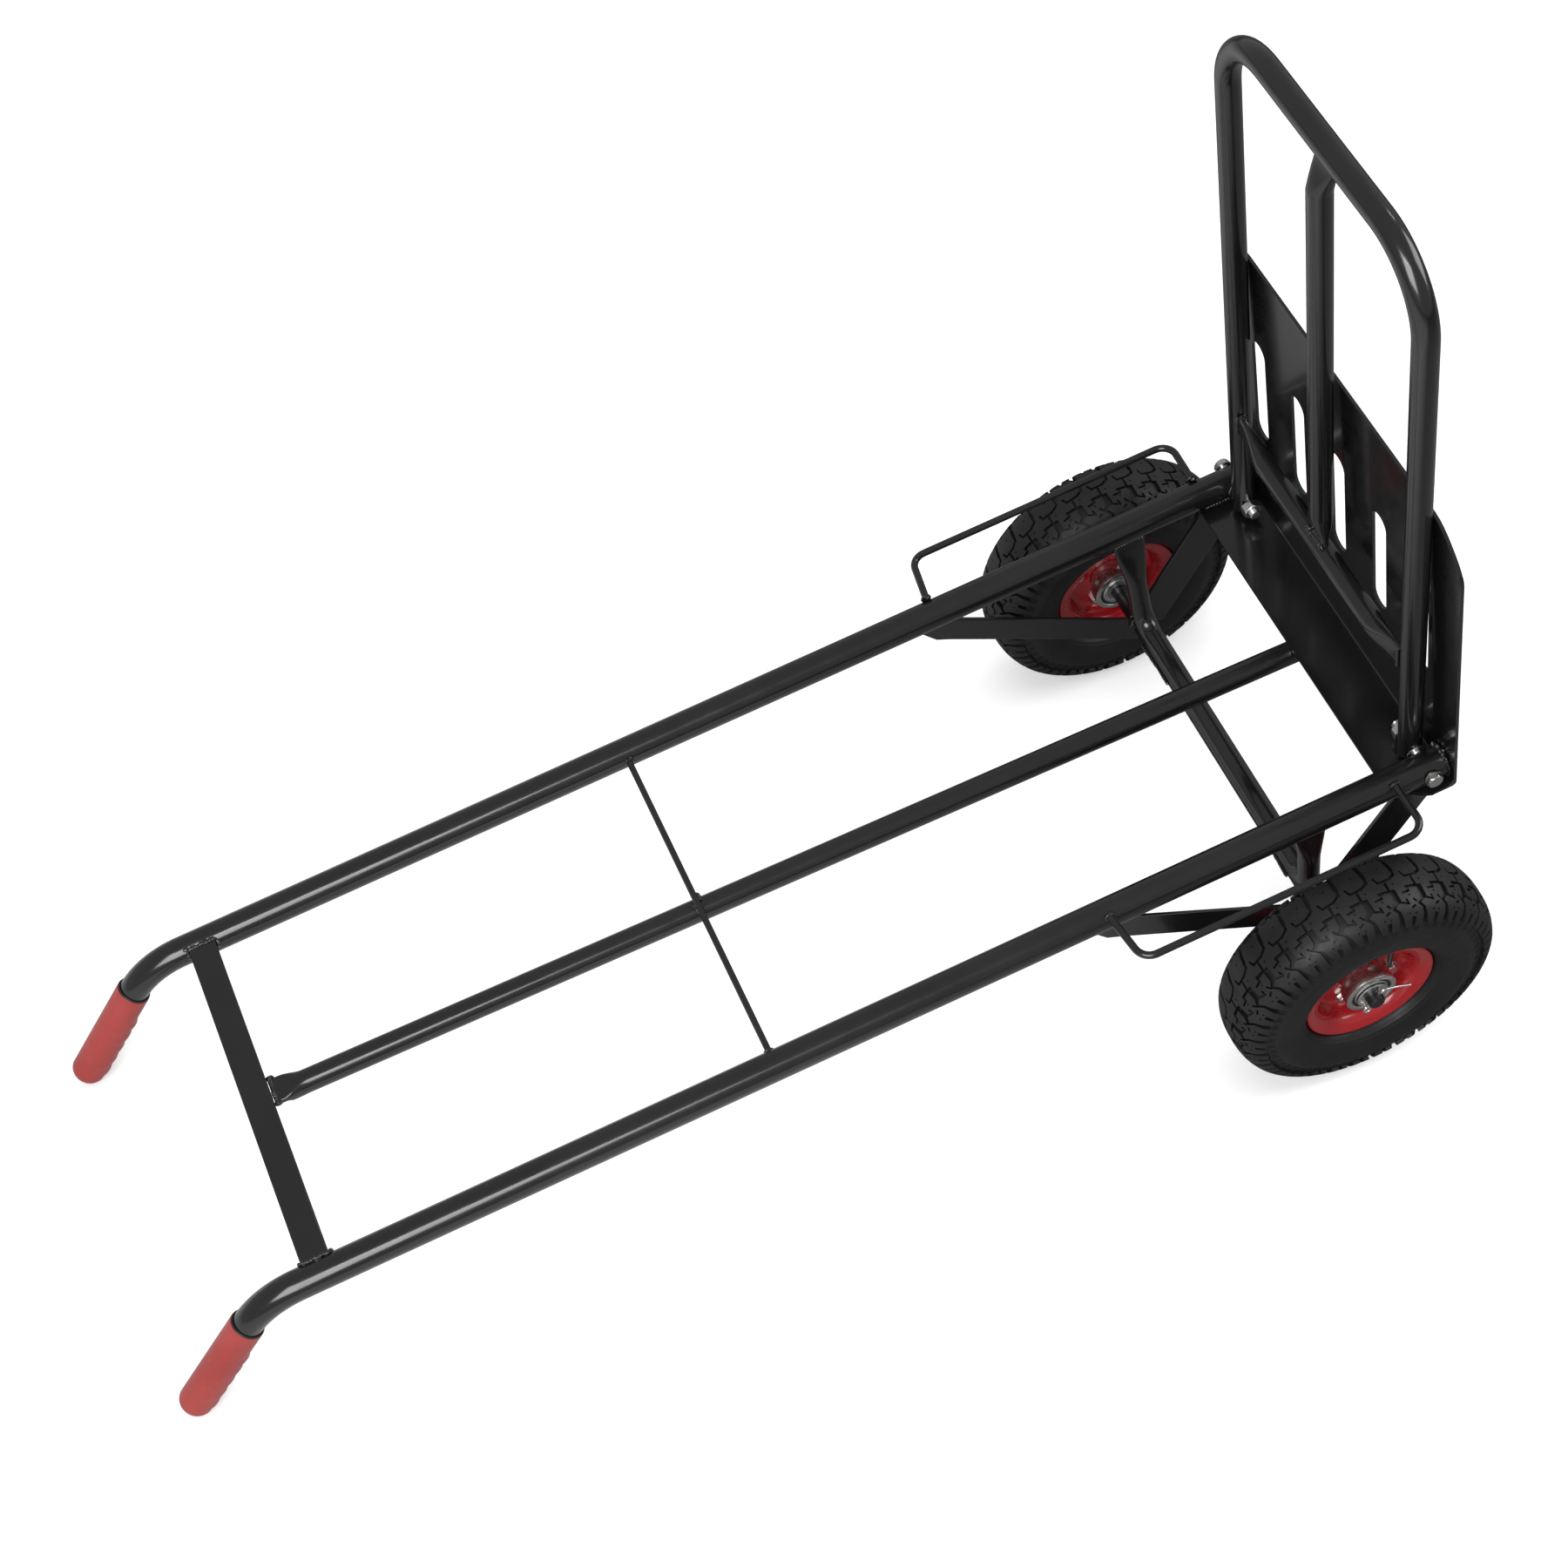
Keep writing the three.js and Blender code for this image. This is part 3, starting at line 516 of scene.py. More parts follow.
for side, name in ((1, "left"), (-1, "right")):
    c = corner + [0, side * RAIL_V, 0]
    P, T = route([[15.6, side * RAIL_V, 0], c, c + hdir * 150.6], [0, BEND, 0], 26)
    P, T = fill(P, T, 60)
    d = np.abs(lengths(P) - (1128.4 - 0.0))
    G = Geo()

    def railsec(i, d=d):
        # the outside of a bend flattens a little as the tube is drawn round it
        k = math.exp(-((d[i]) / 34.0) ** 2)
        return oval(RAIL_R * (1 - 0.045 * k), RAIL_R * (1 + 0.02 * k), 56)

    G.add(*sweep(P, T, [0, 1, 0], railsec))
    G.build("rail_tube_" + name, [BLACK], "frame", ["rail_" + name], 50)

    # grip: soft sleeve with a turned lip, finger ridges underneath and a domed end
    g0 = c + hdir * (MOUTH - 0.6)
    s = np.concatenate([np.linspace(0, 4, 9), np.linspace(4, GRIP_LEN - 10, 84)[1:], GRIP_LEN - 10 + 10 * np.sin(np.linspace(0, math.pi / 2, 14))[1:]])
    Pg = g0 + s[:, None] * hdir
    Tg = np.tile(hdir, (len(s), 1))
    n = 56
    q = np.arange(n) * 2 * math.pi / n
    under = np.clip(-np.cos(q), 0, 1) ** 1.6

    def gripsec(i):
        x = s[i]
        r = 15.9
        if x < 1.2:
            r = 15.3 + 0.6 * math.sin(x / 1.2 * math.pi / 2)
        if x > GRIP_LEN - 10:
            z = (x - (GRIP_LEN - 10)) / 10.0
            r = 15.9 - 8.0 + 8.0 * math.sqrt(max(1e-5, 1 - z ** 2)) - 1.5 * z
        wave = 0.0
        if 30 < x < GRIP_LEN - 12:
            wave = 2.3 * abs(math.sin(math.pi * (x - 30) / 17.2)) ** 0.75
            wave *= min(1, (x - 30) / 8.0, (GRIP_LEN - 12 - x) / 5.0)
        rr = r + (wave - 0.25) * under * (r / 15.9)
        return np.stack([rr * np.cos(q), rr * np.sin(q)], 1)

    G = Geo()
    v, f = sweep(Pg, Tg, [0, 1, 0], gripsec)
    # the first two rings, at the mouth, are marked for painted shade
    mouth_shade = np.zeros(len(v))
    mouth_shade[: n * 2] = 1.0
    G.add(v, f, 0, mouth_shade)
    # the inside edge of the sleeve, standing just off the tube, is a near-black rubber ring: painted shade in the gap
    G.add(*turned([[14.2, -0.7], [15.0, -0.9], [15.5, -0.3], [15.4, 1.2], [14.2, 1.2]], g0, 48, hdir, (0, 1, 0)), 1)
    G.build("grip_sleeve_" + name, [GRIP, SEAL], "frame", ["grip_" + name], 60)

# centre rail: round tube, flattened where it meets the crossbar
BAR_U = -1058.4
TOE = BAR_U + 13
cw = lambda u: -29.5 - 0.0296 * (u + 33)
us = [-8, -36] + list(np.linspace(-120, TOE + 64, 16)) + list(TOE + np.array([58, 52, 46, 40, 34, 29, 25, 21, 18, 15, 13, 11, 9, 7, 5, 2, 0.4]))
P = np.array([[u, 0, cw(u)] for u in us])
T = np.tile([-1.0, 0, 0], (len(us), 1))
sections = []
for u in us:
    x = max(0, min(1, (TOE + 30 - u) / 20.0))
    k = x * x * (3 - 2 * x)
    step = max(0, min(1, (TOE + 15 - u) / 4.0))
    a = 11 * (1 - k) + 5.8 * k - 2.0 * step
    b = 11 * (1 - k) + 13.2 * k
    sections.append((a, b, 2 + 2.2 * k, k, step))
P[:, 2] += np.array([3.2 * s[3] + 1.2 * s[4] for s in sections])
G = Geo()
G.add(*sweep(P, T, [0, 1, 0], lambda i: oval(sections[i][0], sections[i][1], 44, sections[i][2])))
G.add(*bead([[TOE + 1.5, -14.6, 8], [TOE + 2.4, -11, 7.4], [TOE + 2.2, 0, 7.6], [TOE + 2.4, 11, 7.4], [TOE + 1.5, 14.6, 8]], 2.1, seed=3), 1)
for k, (x, y) in enumerate([(TOE + 2.6, 13.8), (TOE + 2.6, -13.8)]):
    G.add(*blob([x, y, 7.0], 2.9, 10 + k, (1.3, 0.9, 0.9)), 1)
# weld under the panel
for sy in (1, -1):
    G.add(*bead([[-38, sy * 8.5, -19.6], [-26, sy * 8.2, -19.8], [-12, sy * 8.0, -20]], 2.0, seed=20 + sy), 1)
G.build("centre_tube", [BLACK, WELD], "frame", ["centre_rail"], 44)

# crossbar: rolled flat bar, its ends run onto the rails and welded round
G = Geo()
ends = []
for sy in (1, -1):
    ends.append([(sy * 168.0), (sy * 172.5), (sy * 174.2)])
outline = [(-13, -172.6), (-12, -174.4), (12, -174.4), (13, -172.6), (13, 172.6), (12, 174.4), (-12, 174.4), (-13, 172.6)]
G.add(*slab(outline, [BAR_U, 0, 0], (1, 0, 0), (0, 1, 0), (0, 0, 1), 8.05, 12.0))
bar = G.build("crossbar", [BLACK], "frame", ["handle_crossbar"], 30, bevel=0.9)
G = Geo()
for sy in (1, -1):
    top = [[BAR_U + x, sy * (173.8 + 0.9 * math.sin(x * 0.7 + sy)), 11.9 - 0.25 * abs(x) / 13] for x in np.linspace(-14.5, 14.5, 9)]
    G.add(*bead(top, 2.3, 3.2, seed=30 + sy))
    for sx in (1, -1):
        G.add(*bead([[BAR_U + sx * 14.2, sy * 174, 11], [BAR_U + sx * 14.6, sy * 171.4, 8.2], [BAR_U + sx * 14.6, sy * 170.2, 5.0], [BAR_U + sx * 13.2, sy * 169.8, 1.4]], 2.1, 3, seed=40 + sx + 3 * sy))
    G.add(*bead([[BAR_U + x, sy * 169.6, 6.6 - 0.1 * x] for x in np.linspace(-13, 13, 7)], 2.0, 3, seed=50 + sy))
    for k in range(4):
        G.add(*blob([BAR_U + rng.uniform(-15, 15), sy * (174 + rng.uniform(-1, 2)), 11.6], rng.uniform(1.6, 2.6), 60 + k + sy, (1.2, 0.9, 0.7)))
G.build("crossbar_welds", [WELD], "frame", [], 60)

# brace rod and its welds
G = Geo()
P, T = fill(np.array([[-632, -171.2, 2.8], [-632, 171.2, 2.8]], float), np.array([[0, 1, 0], [0, 1, 0]], float), 40)
G.add(*sweep(P, T, [1, 0, 0], lambda i: oval(3.0, 3.0, 24)))
for sy in (1, -1):
    G.add(*bead(ringpath([-632, sy * 170.4, 2.8], (0, 1, 0), 3.4, n=24), 1.5, 2.2, seed=70 + sy, closed=True), 1)
    G.add(*blob([-630.6, sy * 171.5, 4.6], 2.6, 74 + sy, (1.1, 0.8, 1.0)), 1)
    G.add(*blob([-632 + sy * 3.0, sy * 5.5, 0.8], 3.0, 78 + sy, (0.9, 1.4, 0.7)), 1)
G.build("brace", [BLACK, WELD], "frame", ["brace_rod"], 50)


# ---------------------------------------------------------------- toe plate
def toe_plate():
    out, t, low = 19.0, 3.0, -17.4
    mid = t / 2
    ri, ro = 2.2, 5.2
    rm = (ri + ro) / 2
    edge, top = -39.0, 329.0
    # arc length along the middle of the sheet: panel, bend, upright
    s1 = (out - ro) - edge
    s2 = s1 + rm * math.pi / 2
    s3 = s2 + (top - (low + ro))

    def place(s, v):
        if s <= s1:
            return np.array([edge + s, v, low + mid]), np.array([0, 0, 1.0])
        if s >= s2:
            return np.array([out - mid, v, low + ro + (s - s2)]), np.array([-1.0, 0, 0])
        q = (s - s1) / rm
        return (np.array([out - ro + rm * math.sin(q), v, low + ro - rm * math.cos(q)]), np.array([-math.sin(q), 0, math.cos(q)]))

    sof = lambda w: s2 + (w - (low + ro))
    outline = [(0, -181.5), (4, -184.5), (30, -202), (34, -203.5), (s2 + 20, -203.5)]
    for w, v in ((284, 206), (290, 205), (296, 202), (303, 197.2), (309.5, 191.2), (315.5, 184.8), (320.6, 178.6), (324.6, 172.4), (327.5, 166), (329, 158.5)):
        outline.append((sof(w), -v))
    full = outline + [(s, -v) for s, v in reversed(outline)]
    # round over the long straight runs so that the triangles stay well shaped
    pts, loops = [], []

    def addloop(loop, step=14.0):
        base = len(pts)
        dense = []
        for i, a in enumerate(loop):
            b = loop[(i + 1) % len(loop)]
            n = max(1, int(math.hypot(b[0] - a[0], b[1] - a[1]) / step))
            dense += [(a[0] + (b[0] - a[0]) * k / n, a[1] + (b[1] - a[1]) * k / n) for k in range(n)]
        pts.extend(dense)
        loops.append(list(range(base, base + len(dense))))
        return dense

    outer = addloop(full)
    holes = []
    for k in range(-2, 3):
        h = []
        for a in range(0, 13):
            q = math.pi * a / 12
            h.append((sof(214) + 11.8 * math.sin(q), 1.2 + 72.4 * k + 11.8 * math.cos(q)))
        for a in range(0, 13):
            q = math.pi + math.pi * a / 12
            h.append((sof(108) + 11.8 * math.sin(q), 1.2 + 72.4 * k + 11.8 * math.cos(q)))
        holes.append(addloop(h, 12.0))
    edges = [(l[i], l[(i + 1) % len(l)]) for l in loops for i in range(len(l))]
    # inner lines across the bend
    for s in np.concatenate([np.linspace(s1, s2, 9)]):
        row = [(s, v) for v in np.linspace(-203.4, 203.4, 40)]
        base = len(pts)
        pts.extend(row)
        edges += [(base + i, base + i + 1) for i in range(len(row) - 1)]
    inside = lambda p, poly: sum(((a[1] > p[1]) != (b[1] > p[1])) and (p[0] < (b[0] - a[0]) * (p[1] - a[1]) / (b[1] - a[1]) + a[0]) for a, b in zip(poly, poly[1:] + poly[:1])) % 2 == 1
    vo, eo, fo, *_ = delaunay_2d_cdt([Vector(p) for p in pts], edges, [], 0, 1e-4)
    vo = [(p[0], p[1]) for p in vo]
    keep = []
    for f in fo:
        c = (sum(vo[i][0] for i in f) / len(f), sum(vo[i][1] for i in f) / len(f))
        if inside(c, outer) and not any(inside(c, h) for h in holes):
            keep.append(tuple(f))
    used = sorted({i for f in keep for i in f})
    index = {o: i for i, o in enumerate(used)}
    keep = [tuple(index[i] for i in f) for f in keep]
    A, B = [], []
    for o in used:
        p, nrm = place(*vo[o])
        A.append(p + nrm * mid)
        B.append(p - nrm * mid)
    n = len(used)
    count = {}
    for f in keep:
        for i in range(len(f)):
            e = (f[i], f[(i + 1) % len(f)])
            count[e] = count.get(e, 0) + 1
    faces = [f for f in keep] + [tuple(n + i for i in reversed(f)) for f in keep]
    for (a, b) in count:
        if (b, a) not in count:
            faces.append((b, a, n + a, n + b))
    return np.array(A + B), faces


G = Geo()
G.add(*toe_plate())
plate = G.build("toe_plate_sheet", [BLACK], "frame", ["toe_plate"], 30, bevel=0.55)

# welds between the rails and the plate, and along the panel
G = Geo()
for sy in (1, -1):
    c = [14.4, sy * RAIL_V, 0]
    G.add(*bead(ringpath(c, (1, 0, 0), 14.3, a0=-150, a1=150, n=60), 1.5, 3.2, seed=80 + sy))
    for k, a in enumerate((-52, -34, 24, 58)):
        q = math.radians(a) * -sy
        G.add(*blob([13.6, sy * RAIL_V + 14.8 * math.sin(q), 14.8 * math.cos(q)], 1.9 + 0.35 * k, 84 + k + 5 * sy, (0.9, 1.2, 1.1)))
    for k, (x, y, z, r) in enumerate(((13.4, 3.6, 14.6, 2.7), (12.6, 0.4, 15.2, 2.2), (13.8, 7.0, 13.0, 2.2), (14.4, 2.0, 17.4, 1.8))):
        G.add(*blob([x, sy * (RAIL_V + y), z], r, 350 + k + 5 * sy, (0.9, 1.15, 1.0)))
    for e in (1, -1):
        G.add(*bead([[u, sy * RAIL_V + e * 7.6, -14.2] for u in np.linspace(-34, 8, 12)], 1.9, 3, seed=90 + e + 2 * sy))
G.build("rail_welds", [WELD], "frame", [], 60)

# ---------------------------------------------------------------- toe loop
LEAN = math.radians(1.15)
lu = np.array([math.cos(LEAN), 0, -math.sin(LEAN)])
lw = np.array([math.sin(LEAN), 0, math.cos(LEAN)])
lp = np.array([PIVOT[0], 0, PIVOT[1]])


def onloop(x, v, l):
    return lp + x * lu + np.array([0, v, 0.0]) + l * lw


LV, LTOP, LBEND = 157.7, 609.0, 70.0
P, T = route([onloop(0, LV, 0), onloop(0, LV, LTOP), onloop(0, -LV, LTOP), onloop(0, -LV, 0)], [0, LBEND, LBEND, 0], 28)
Pf, Tf = fill(P, T, 60)
tips = np.array([-12.8, -12.4, -11.4, -9.8, -7.4, -4.2])
rad = np.array([2.2, 5.0, 7.6, 9.4, 10.5, 10.95])
head = np.array([onloop(0, LV, l) for l in tips])
tail = np.array([onloop(0, -LV, l) for l in tips[::-1]])
Pl = np.concatenate([head, Pf, tail])
Tl = np.concatenate([np.tile(lw, (6, 1)), Tf, np.tile(-lw, (6, 1))])
rr = np.concatenate([rad, np.full(len(Pf), 11.0), rad[::-1]])
G = Geo()
G.add(*sweep(Pl, Tl, [1, 0, 0], lambda i: oval(rr[i], rr[i] if rr[i] > 10.9 else min(11, rr[i] * 1.15), 48)))
# welds of the cross tube tabs and the centre leg
for sy in (1, -1):
    for e in (1, -1):
        G.add(*bead([onloop(-5 + e * 3.6, sy * (LV - 11.0), 123 + z) for z in np.linspace(-12, 12, 9)], 1.7, 3, seed=110 + e + 2 * sy), 1)
    G.add(*blob(onloop(-3, sy * (LV - 11.6), 111), 2.4, 114 + sy), 1)
for e in (1, -1):
    G.add(*bead([onloop(4 + e * 3.2, y, LTOP - 10.9) for y in np.linspace(-13, 13, 10)], 1.8, 3, seed=120 + e), 1)
G.build("loop_tube", [BLACK, WELD], "toe_loop", ["loop_frame"], 50)


def pinch(x, flat, full, wide):
    """Half sizes of a round tube pressed flat: x runs 0 (flat) to 1 (round)."""
    k = max(0, min(1, x))
    k = k * k * (3 - 2 * k)
    return flat + (full - flat) * k, wide + (full - wide) * k, 2 + 2.4 * (1 - k)


# lower cross tube, pressed flat at both legs
ce = LV - 11.2
ys = np.concatenate([np.linspace(-ce, -ce + 46, 24), np.linspace(-ce + 60, ce - 60, 9), np.linspace(ce - 46, ce, 24)])
pts, secs = [], []
for y in ys:
    e = ce - abs(y)
    a, b, p = pinch((e - 5) / 46.0, 3.3, 10.0, 12.6)
    z = min(1, max(0, (e - 3) / 44.0))
    lift = 9.0 * (1 - z * z * (3 - 2 * z))
    pts.append(onloop(-5, y, 114 + lift))
    secs.append(oval(a, b, 40, p))
G = Geo()
G.add(*sweep(np.array(pts), np.tile([0.0, 1, 0], (len(ys), 1)), lw, lambda i: secs[i]))
G.build("loop_lower_tube", [BLACK], "toe_loop", ["loop_cross_tube"], 44)

# centre leg
l0, l1 = 124.6, LTOP - 11.2
ls = np.concatenate([np.linspace(l0, l0 + 44, 22), np.linspace(l0 + 60, l1 - 60, 8), np.linspace(l1 - 46, l1, 24)])
pts, secs = [], []
for l in ls:
    top, bot = l1 - l, l - l0
    if top < bot:
        a, b, p = pinch((top - 8) / 32.0, 3.3, 11.0, 14.5)
        x = -3 + 7.2 * (1 - min(1, max(0, (top - 4) / 34.0)))
    else:
        a, b, p = pinch((bot - 4) / 32.0, 3.6, 11.0, 14.0)
        x = -3 - 2.4 * (1 - min(1, max(0, bot / 34.0)))
    pts.append(onloop(x, 0, l))
    secs.append(oval(b, a, 44, p))
G = Geo()
G.add(*sweep(np.array(pts), np.tile(lw, (len(ls), 1)), lu, lambda i: secs[i]))
for e in (1, -1):
    G.add(*bead([onloop(-5.2 + e * 3.4, y, l0 - 0.2 - 0.03 * y * y * 0.3) for y in np.linspace(-13, 13, 10)], 1.9, 3, seed=130 + e), 1)
G.add(*blob(onloop(-9.0, 11.5, l0 + 1.4), 3.6, 133, (1.0, 1.2, 1.3)), 1)
G.add(*blob(onloop(-9.4, 7.6, l0 - 0.6), 2.6, 135, (1.0, 1.3, 0.9)), 1)
G.add(*blob(onloop(-9.2, -12, l0 + 0.2), 2.6, 134), 1)
G.add(*blob(onloop(-9.4, -7.5, l0 - 0.8), 2.0, 136), 1)
G.build("loop_middle_leg", [BLACK, WELD], "toe_loop", ["loop_centre_leg"], 44)

# ---------------------------------------------------------------- pivot bolts
for sy, name in ((1, "left"), (-1, "right")):
    at = lambda y: np.array([PIVOT[0], sy * y, PIVOT[1]])
    ax = np.array([0, sy, 0.0])
    G = Geo()
    G.add(*turned([[5.4, 0], [7.6, 0], [7.9, 0.2], [7.9, 0.7], [7.5, 0.9], [5.4, 0.9]], at(198.15), 48, ax))
    G.add(*hexhead(at(198.9), ax, 14.2, 5.6, (0.8, 0, 0.6)))
    G.build("bolt_head_" + name, [ZINC], "frame", ["pivot_bolt_" + name], 28)
    # shank with a rolled thread beyond the nut
    n, turns = 40, []
    y = np.arange(133.6, 141.0, 0.25)
    prof = [[0.01, 133.0], [4.2, 133.0]] + [[4.72 + 0.32 * math.cos(2 * math.pi * (t - 133.6) / 1.5), t] for t in y] + [[5.0, 141.2], [5.0, 199.0], [0.01, 199.0]]
    G = Geo()
    v, f = turned([[r, (t - 133.0)] for r, t in prof], at(133.0), n, ax, closed=False)
    G.add(v, f)
    G.build("bolt_shank_" + name, [ZINC], "frame", [], 30)
    G = Geo()
    G.add(*turned([[5.6, 0], [9.2, 0], [9.4, 0.15], [9.4, 0.6], [9.2, 0.75], [5.6, 0.75]], at(169.0), 40, ax))
    G.build("bolt_washer_" + name, [ZINC], "frame", ["pivot_washer_" + name], 30)
    G = Geo()
    G.add(*hexhead(at(146.4), -ax, 16.2, 8.4, (0.5, 0, 0.86)))
    G.build("bolt_nut_" + name, [ZINC], "frame", ["pivot_nut_" + name], 28)

# ---------------------------------------------------------------- wheel guards
for sy, name in ((1, "left"), (-1, "right")):
    pts = [[-37.0, sy * 193.6, 12.2], [-35.5, sy * 246, 10], [-307.5, sy * 246, 10], [-315, sy * 193.6, 12.2]]
    P, T = route(pts, [0, 15, 15, 0], 12)
    P, T = fill(P, T, 30)
    G = Geo()
    G.add(*sweep(P, T, [0, 0, 1], lambda i: oval(3.5, 3.5, 28)))
    for k, x in enumerate((-37.0, -315.0)):
        G.add(*bead(ringpath([x, sy * 195.2, 12.0], (0, 1, -0.05), 3.7, n=22), 1.4, 2.2, seed=140 + k + 2 * sy, closed=True), 1)
        G.add(*blob([x + 1.5, sy * 194.2, 14.2], 2.5, 146 + k + 3 * sy, (1.2, 1, 0.8)), 1)
    G.build("guard_wire_" + name, [BLACK, WELD], "frame", ["wheel_guard_" + name], 50)

# ---------------------------------------------------------------- axle support
AU, AW = AXLE
top = np.array([AU - 1.5, 180.4, -14.2])
low = np.array([AU, 168.0, -135.0])
low2, top2 = low * [1, -1, 1], top * [1, -1, 1]
P, T = route([top, low, low2, top2], [0, 24, 24, 0], 14)
P, T = fill(P, T, 5.0)
G = Geo()


def supsec(i):
    d = -14.2 - P[i][2]
    if d > 92:
        return oval(10.5, 10.5, 40)
    a, b, p = pinch((d - 2) / 62.0, 3.1, 10.5, 15.8)
    return oval(a, b, 40, p)


G.add(*sweep(P, T, [1, 0, 0], supsec))
for sy in (1, -1):
    for e in (1, -1):
        G.add(*bead([[AU - 1.5 + x, sy * 180.4 + e * 3.4, -14.4 - 0.02 * x * x * 0.2] for x in np.linspace(-16, 16, 12)], 1.8, 3, seed=150 + e + 2 * sy), 1)
    G.add(*bead([[AU - 12, sy * 150, -143.4], [AU - 10.5, sy * 120, -144.6], [AU - 10.5, sy * 95, -144.6]], 1.6, 3, seed=156 + sy), 1)
    G.add(*blob([AU - 8, sy * 172.5, -141], 3.6, 158 + sy, (1.3, 0.9, 1.1)), 1)
    G.add(*blob([AU + 9, sy * 171.5, -137], 3.1, 168 + sy, (1.1, 0.9, 1.2)), 1)
G.build("support_tube", [BLACK, WELD], "frame", ["axle_support_tube"], 46)


# ---------------------------------------------------------------- struts
def struts():
    k = -0.707
    e = unit([1, k])
    n = np.array([-e[1], e[0]])
    c = np.array([-200.0, -104.0])
    half = 13.5
    up = lambda s, o: tuple(c + e * s + n * o)
    # rear strut: straight bar with its end drawn round up to the rail
    end = (np.array(AXLE) - c) @ e
    pts = [up(end + 12, -half), up(end + 12, half), up(-60, half)]
    su = (-14.2 - (c[1] + n[1] * half)) / e[1]
    pts.append(up(su, half))
    pts.append((pts[-1][0] - 30, -14.2))
    lowline = [up(s, -half) for s in (su + 9, su + 20, su + 34)]
    pts += [(pts[-1][0] - 1.5, -16.5), (pts[-1][0] + 4, -20.5), (lowline[0][0] - 5, lowline[0][1] + 2.6)] + lowline[1:]
    return pts


rear = struts()
e2 = unit([46.0, 64.0])
n2 = np.array([-e2[1], e2[0]])
c2 = np.array([-60.3, -97.2])
f2 = lambda s, o: tuple(c2 + e2 * s + n2 * o)
s_top = lambda o: (-14.2 - (c2[1] + n2[1] * o)) / e2[1]
front = [f2(-60, 19.5), f2(-74, 16.5), f2(-82, 6), f2(-82, -8), f2(-74, -19.5), f2((17.0 - c2[0] - n2[0] * -19.5) / e2[0], -19.5), (17.0, -17.8), (f2((-17.8 - c2[1] - n2[1] * 19.5) / e2[1], 19.5)[0], -17.8)]


def above_rear(poly):
    """The part of an outline that lies clear above the rear strut's upper edge."""
    e = unit([1, -0.707])
    n = np.array([-e[1], e[0]])
    far = lambda q: (np.array(q) - np.array([-200.0, -104.0])) @ n - 13.5 - 0.35
    out = []
    for i, q in enumerate(poly):
        w = poly[(i + 1) % len(poly)]
        a, b = far(q), far(w)
        if a >= 0:
            out.append(tuple(q))
        if (a >= 0) != (b >= 0):
            t = a / (a - b)
            out.append((q[0] + (w[0] - q[0]) * t, q[1] + (w[1] - q[1]) * t))
    return out


tip = front[6]
heel = front[7]
front = above_rear(front)
for sy, name in ((1, "left"), (-1, "right")):
    G = Geo()
    G.add(*slab(rear, [0, 0, 0], (1, 0, 0), (0, 0, 1), (0, 1, 0), sy * 184 - 2, sy * 184 + 2))
    rs = G.build("rear_bar_" + name, [BLACK], "frame", ["rear_strut_" + name], 30, bevel=0.7)
    G = Geo()
    G.add(*slab(front, [0, 0, 0], (1, 0, 0), (0, 0, 1), (0, 1, 0), sy * 184 - 2, sy * 184 + 2))
    G.build("front_bar_" + name, [BLACK], "frame", ["front_strut_" + name], 30, bevel=0.7)
    G = Geo()
    x0 = rear[3][0]
    for q in (1, -1):
        G.add(*bead([[x, sy * 184 + q * 2.6, -14.6] for x in np.linspace(x0 - 28, x0 + 2, 9)], 1.7, 3, seed=170 + q + 2 * sy))
        G.add(*bead([[x, sy * 184 + q * 2.6, -17.6] for x in np.linspace(heel[0] - 1, tip[0] + 1, 8)], 1.7, 3, seed=176 + q + 2 * sy))
    G.add(*bead(ringpath([AU, sy * 186.6, AW], (0, 1, 0), 9.2, n=40), 1.8, 3, seed=182 + sy, closed=True))
    G.add(*bead(ringpath([AU, sy * 181.4, AW], (0, 1, 0), 9.0, n=40), 1.7, 3, seed=186 + sy, closed=True))
    G.build("strut_welds_" + name, [WELD], "frame", [], 60)

# ---------------------------------------------------------------- axle
G = Geo()
prof = [[0.01, -300], [6.2, -300], [7.6, -298.8], [8, -297.2], [8, 297.2], [7.6, 298.8], [6.2, 300], [0.01, 300]]
G.add(*turned(prof, [AU, 0, AW], 40, closed=False))
G.build("axle_bar", [DARKSTEEL], "frame", ["axle"], 34)


# ---------------------------------------------------------------- tyre
PITCHES = 30
PITCH = 2 * math.pi * 130.0 / PITCHES


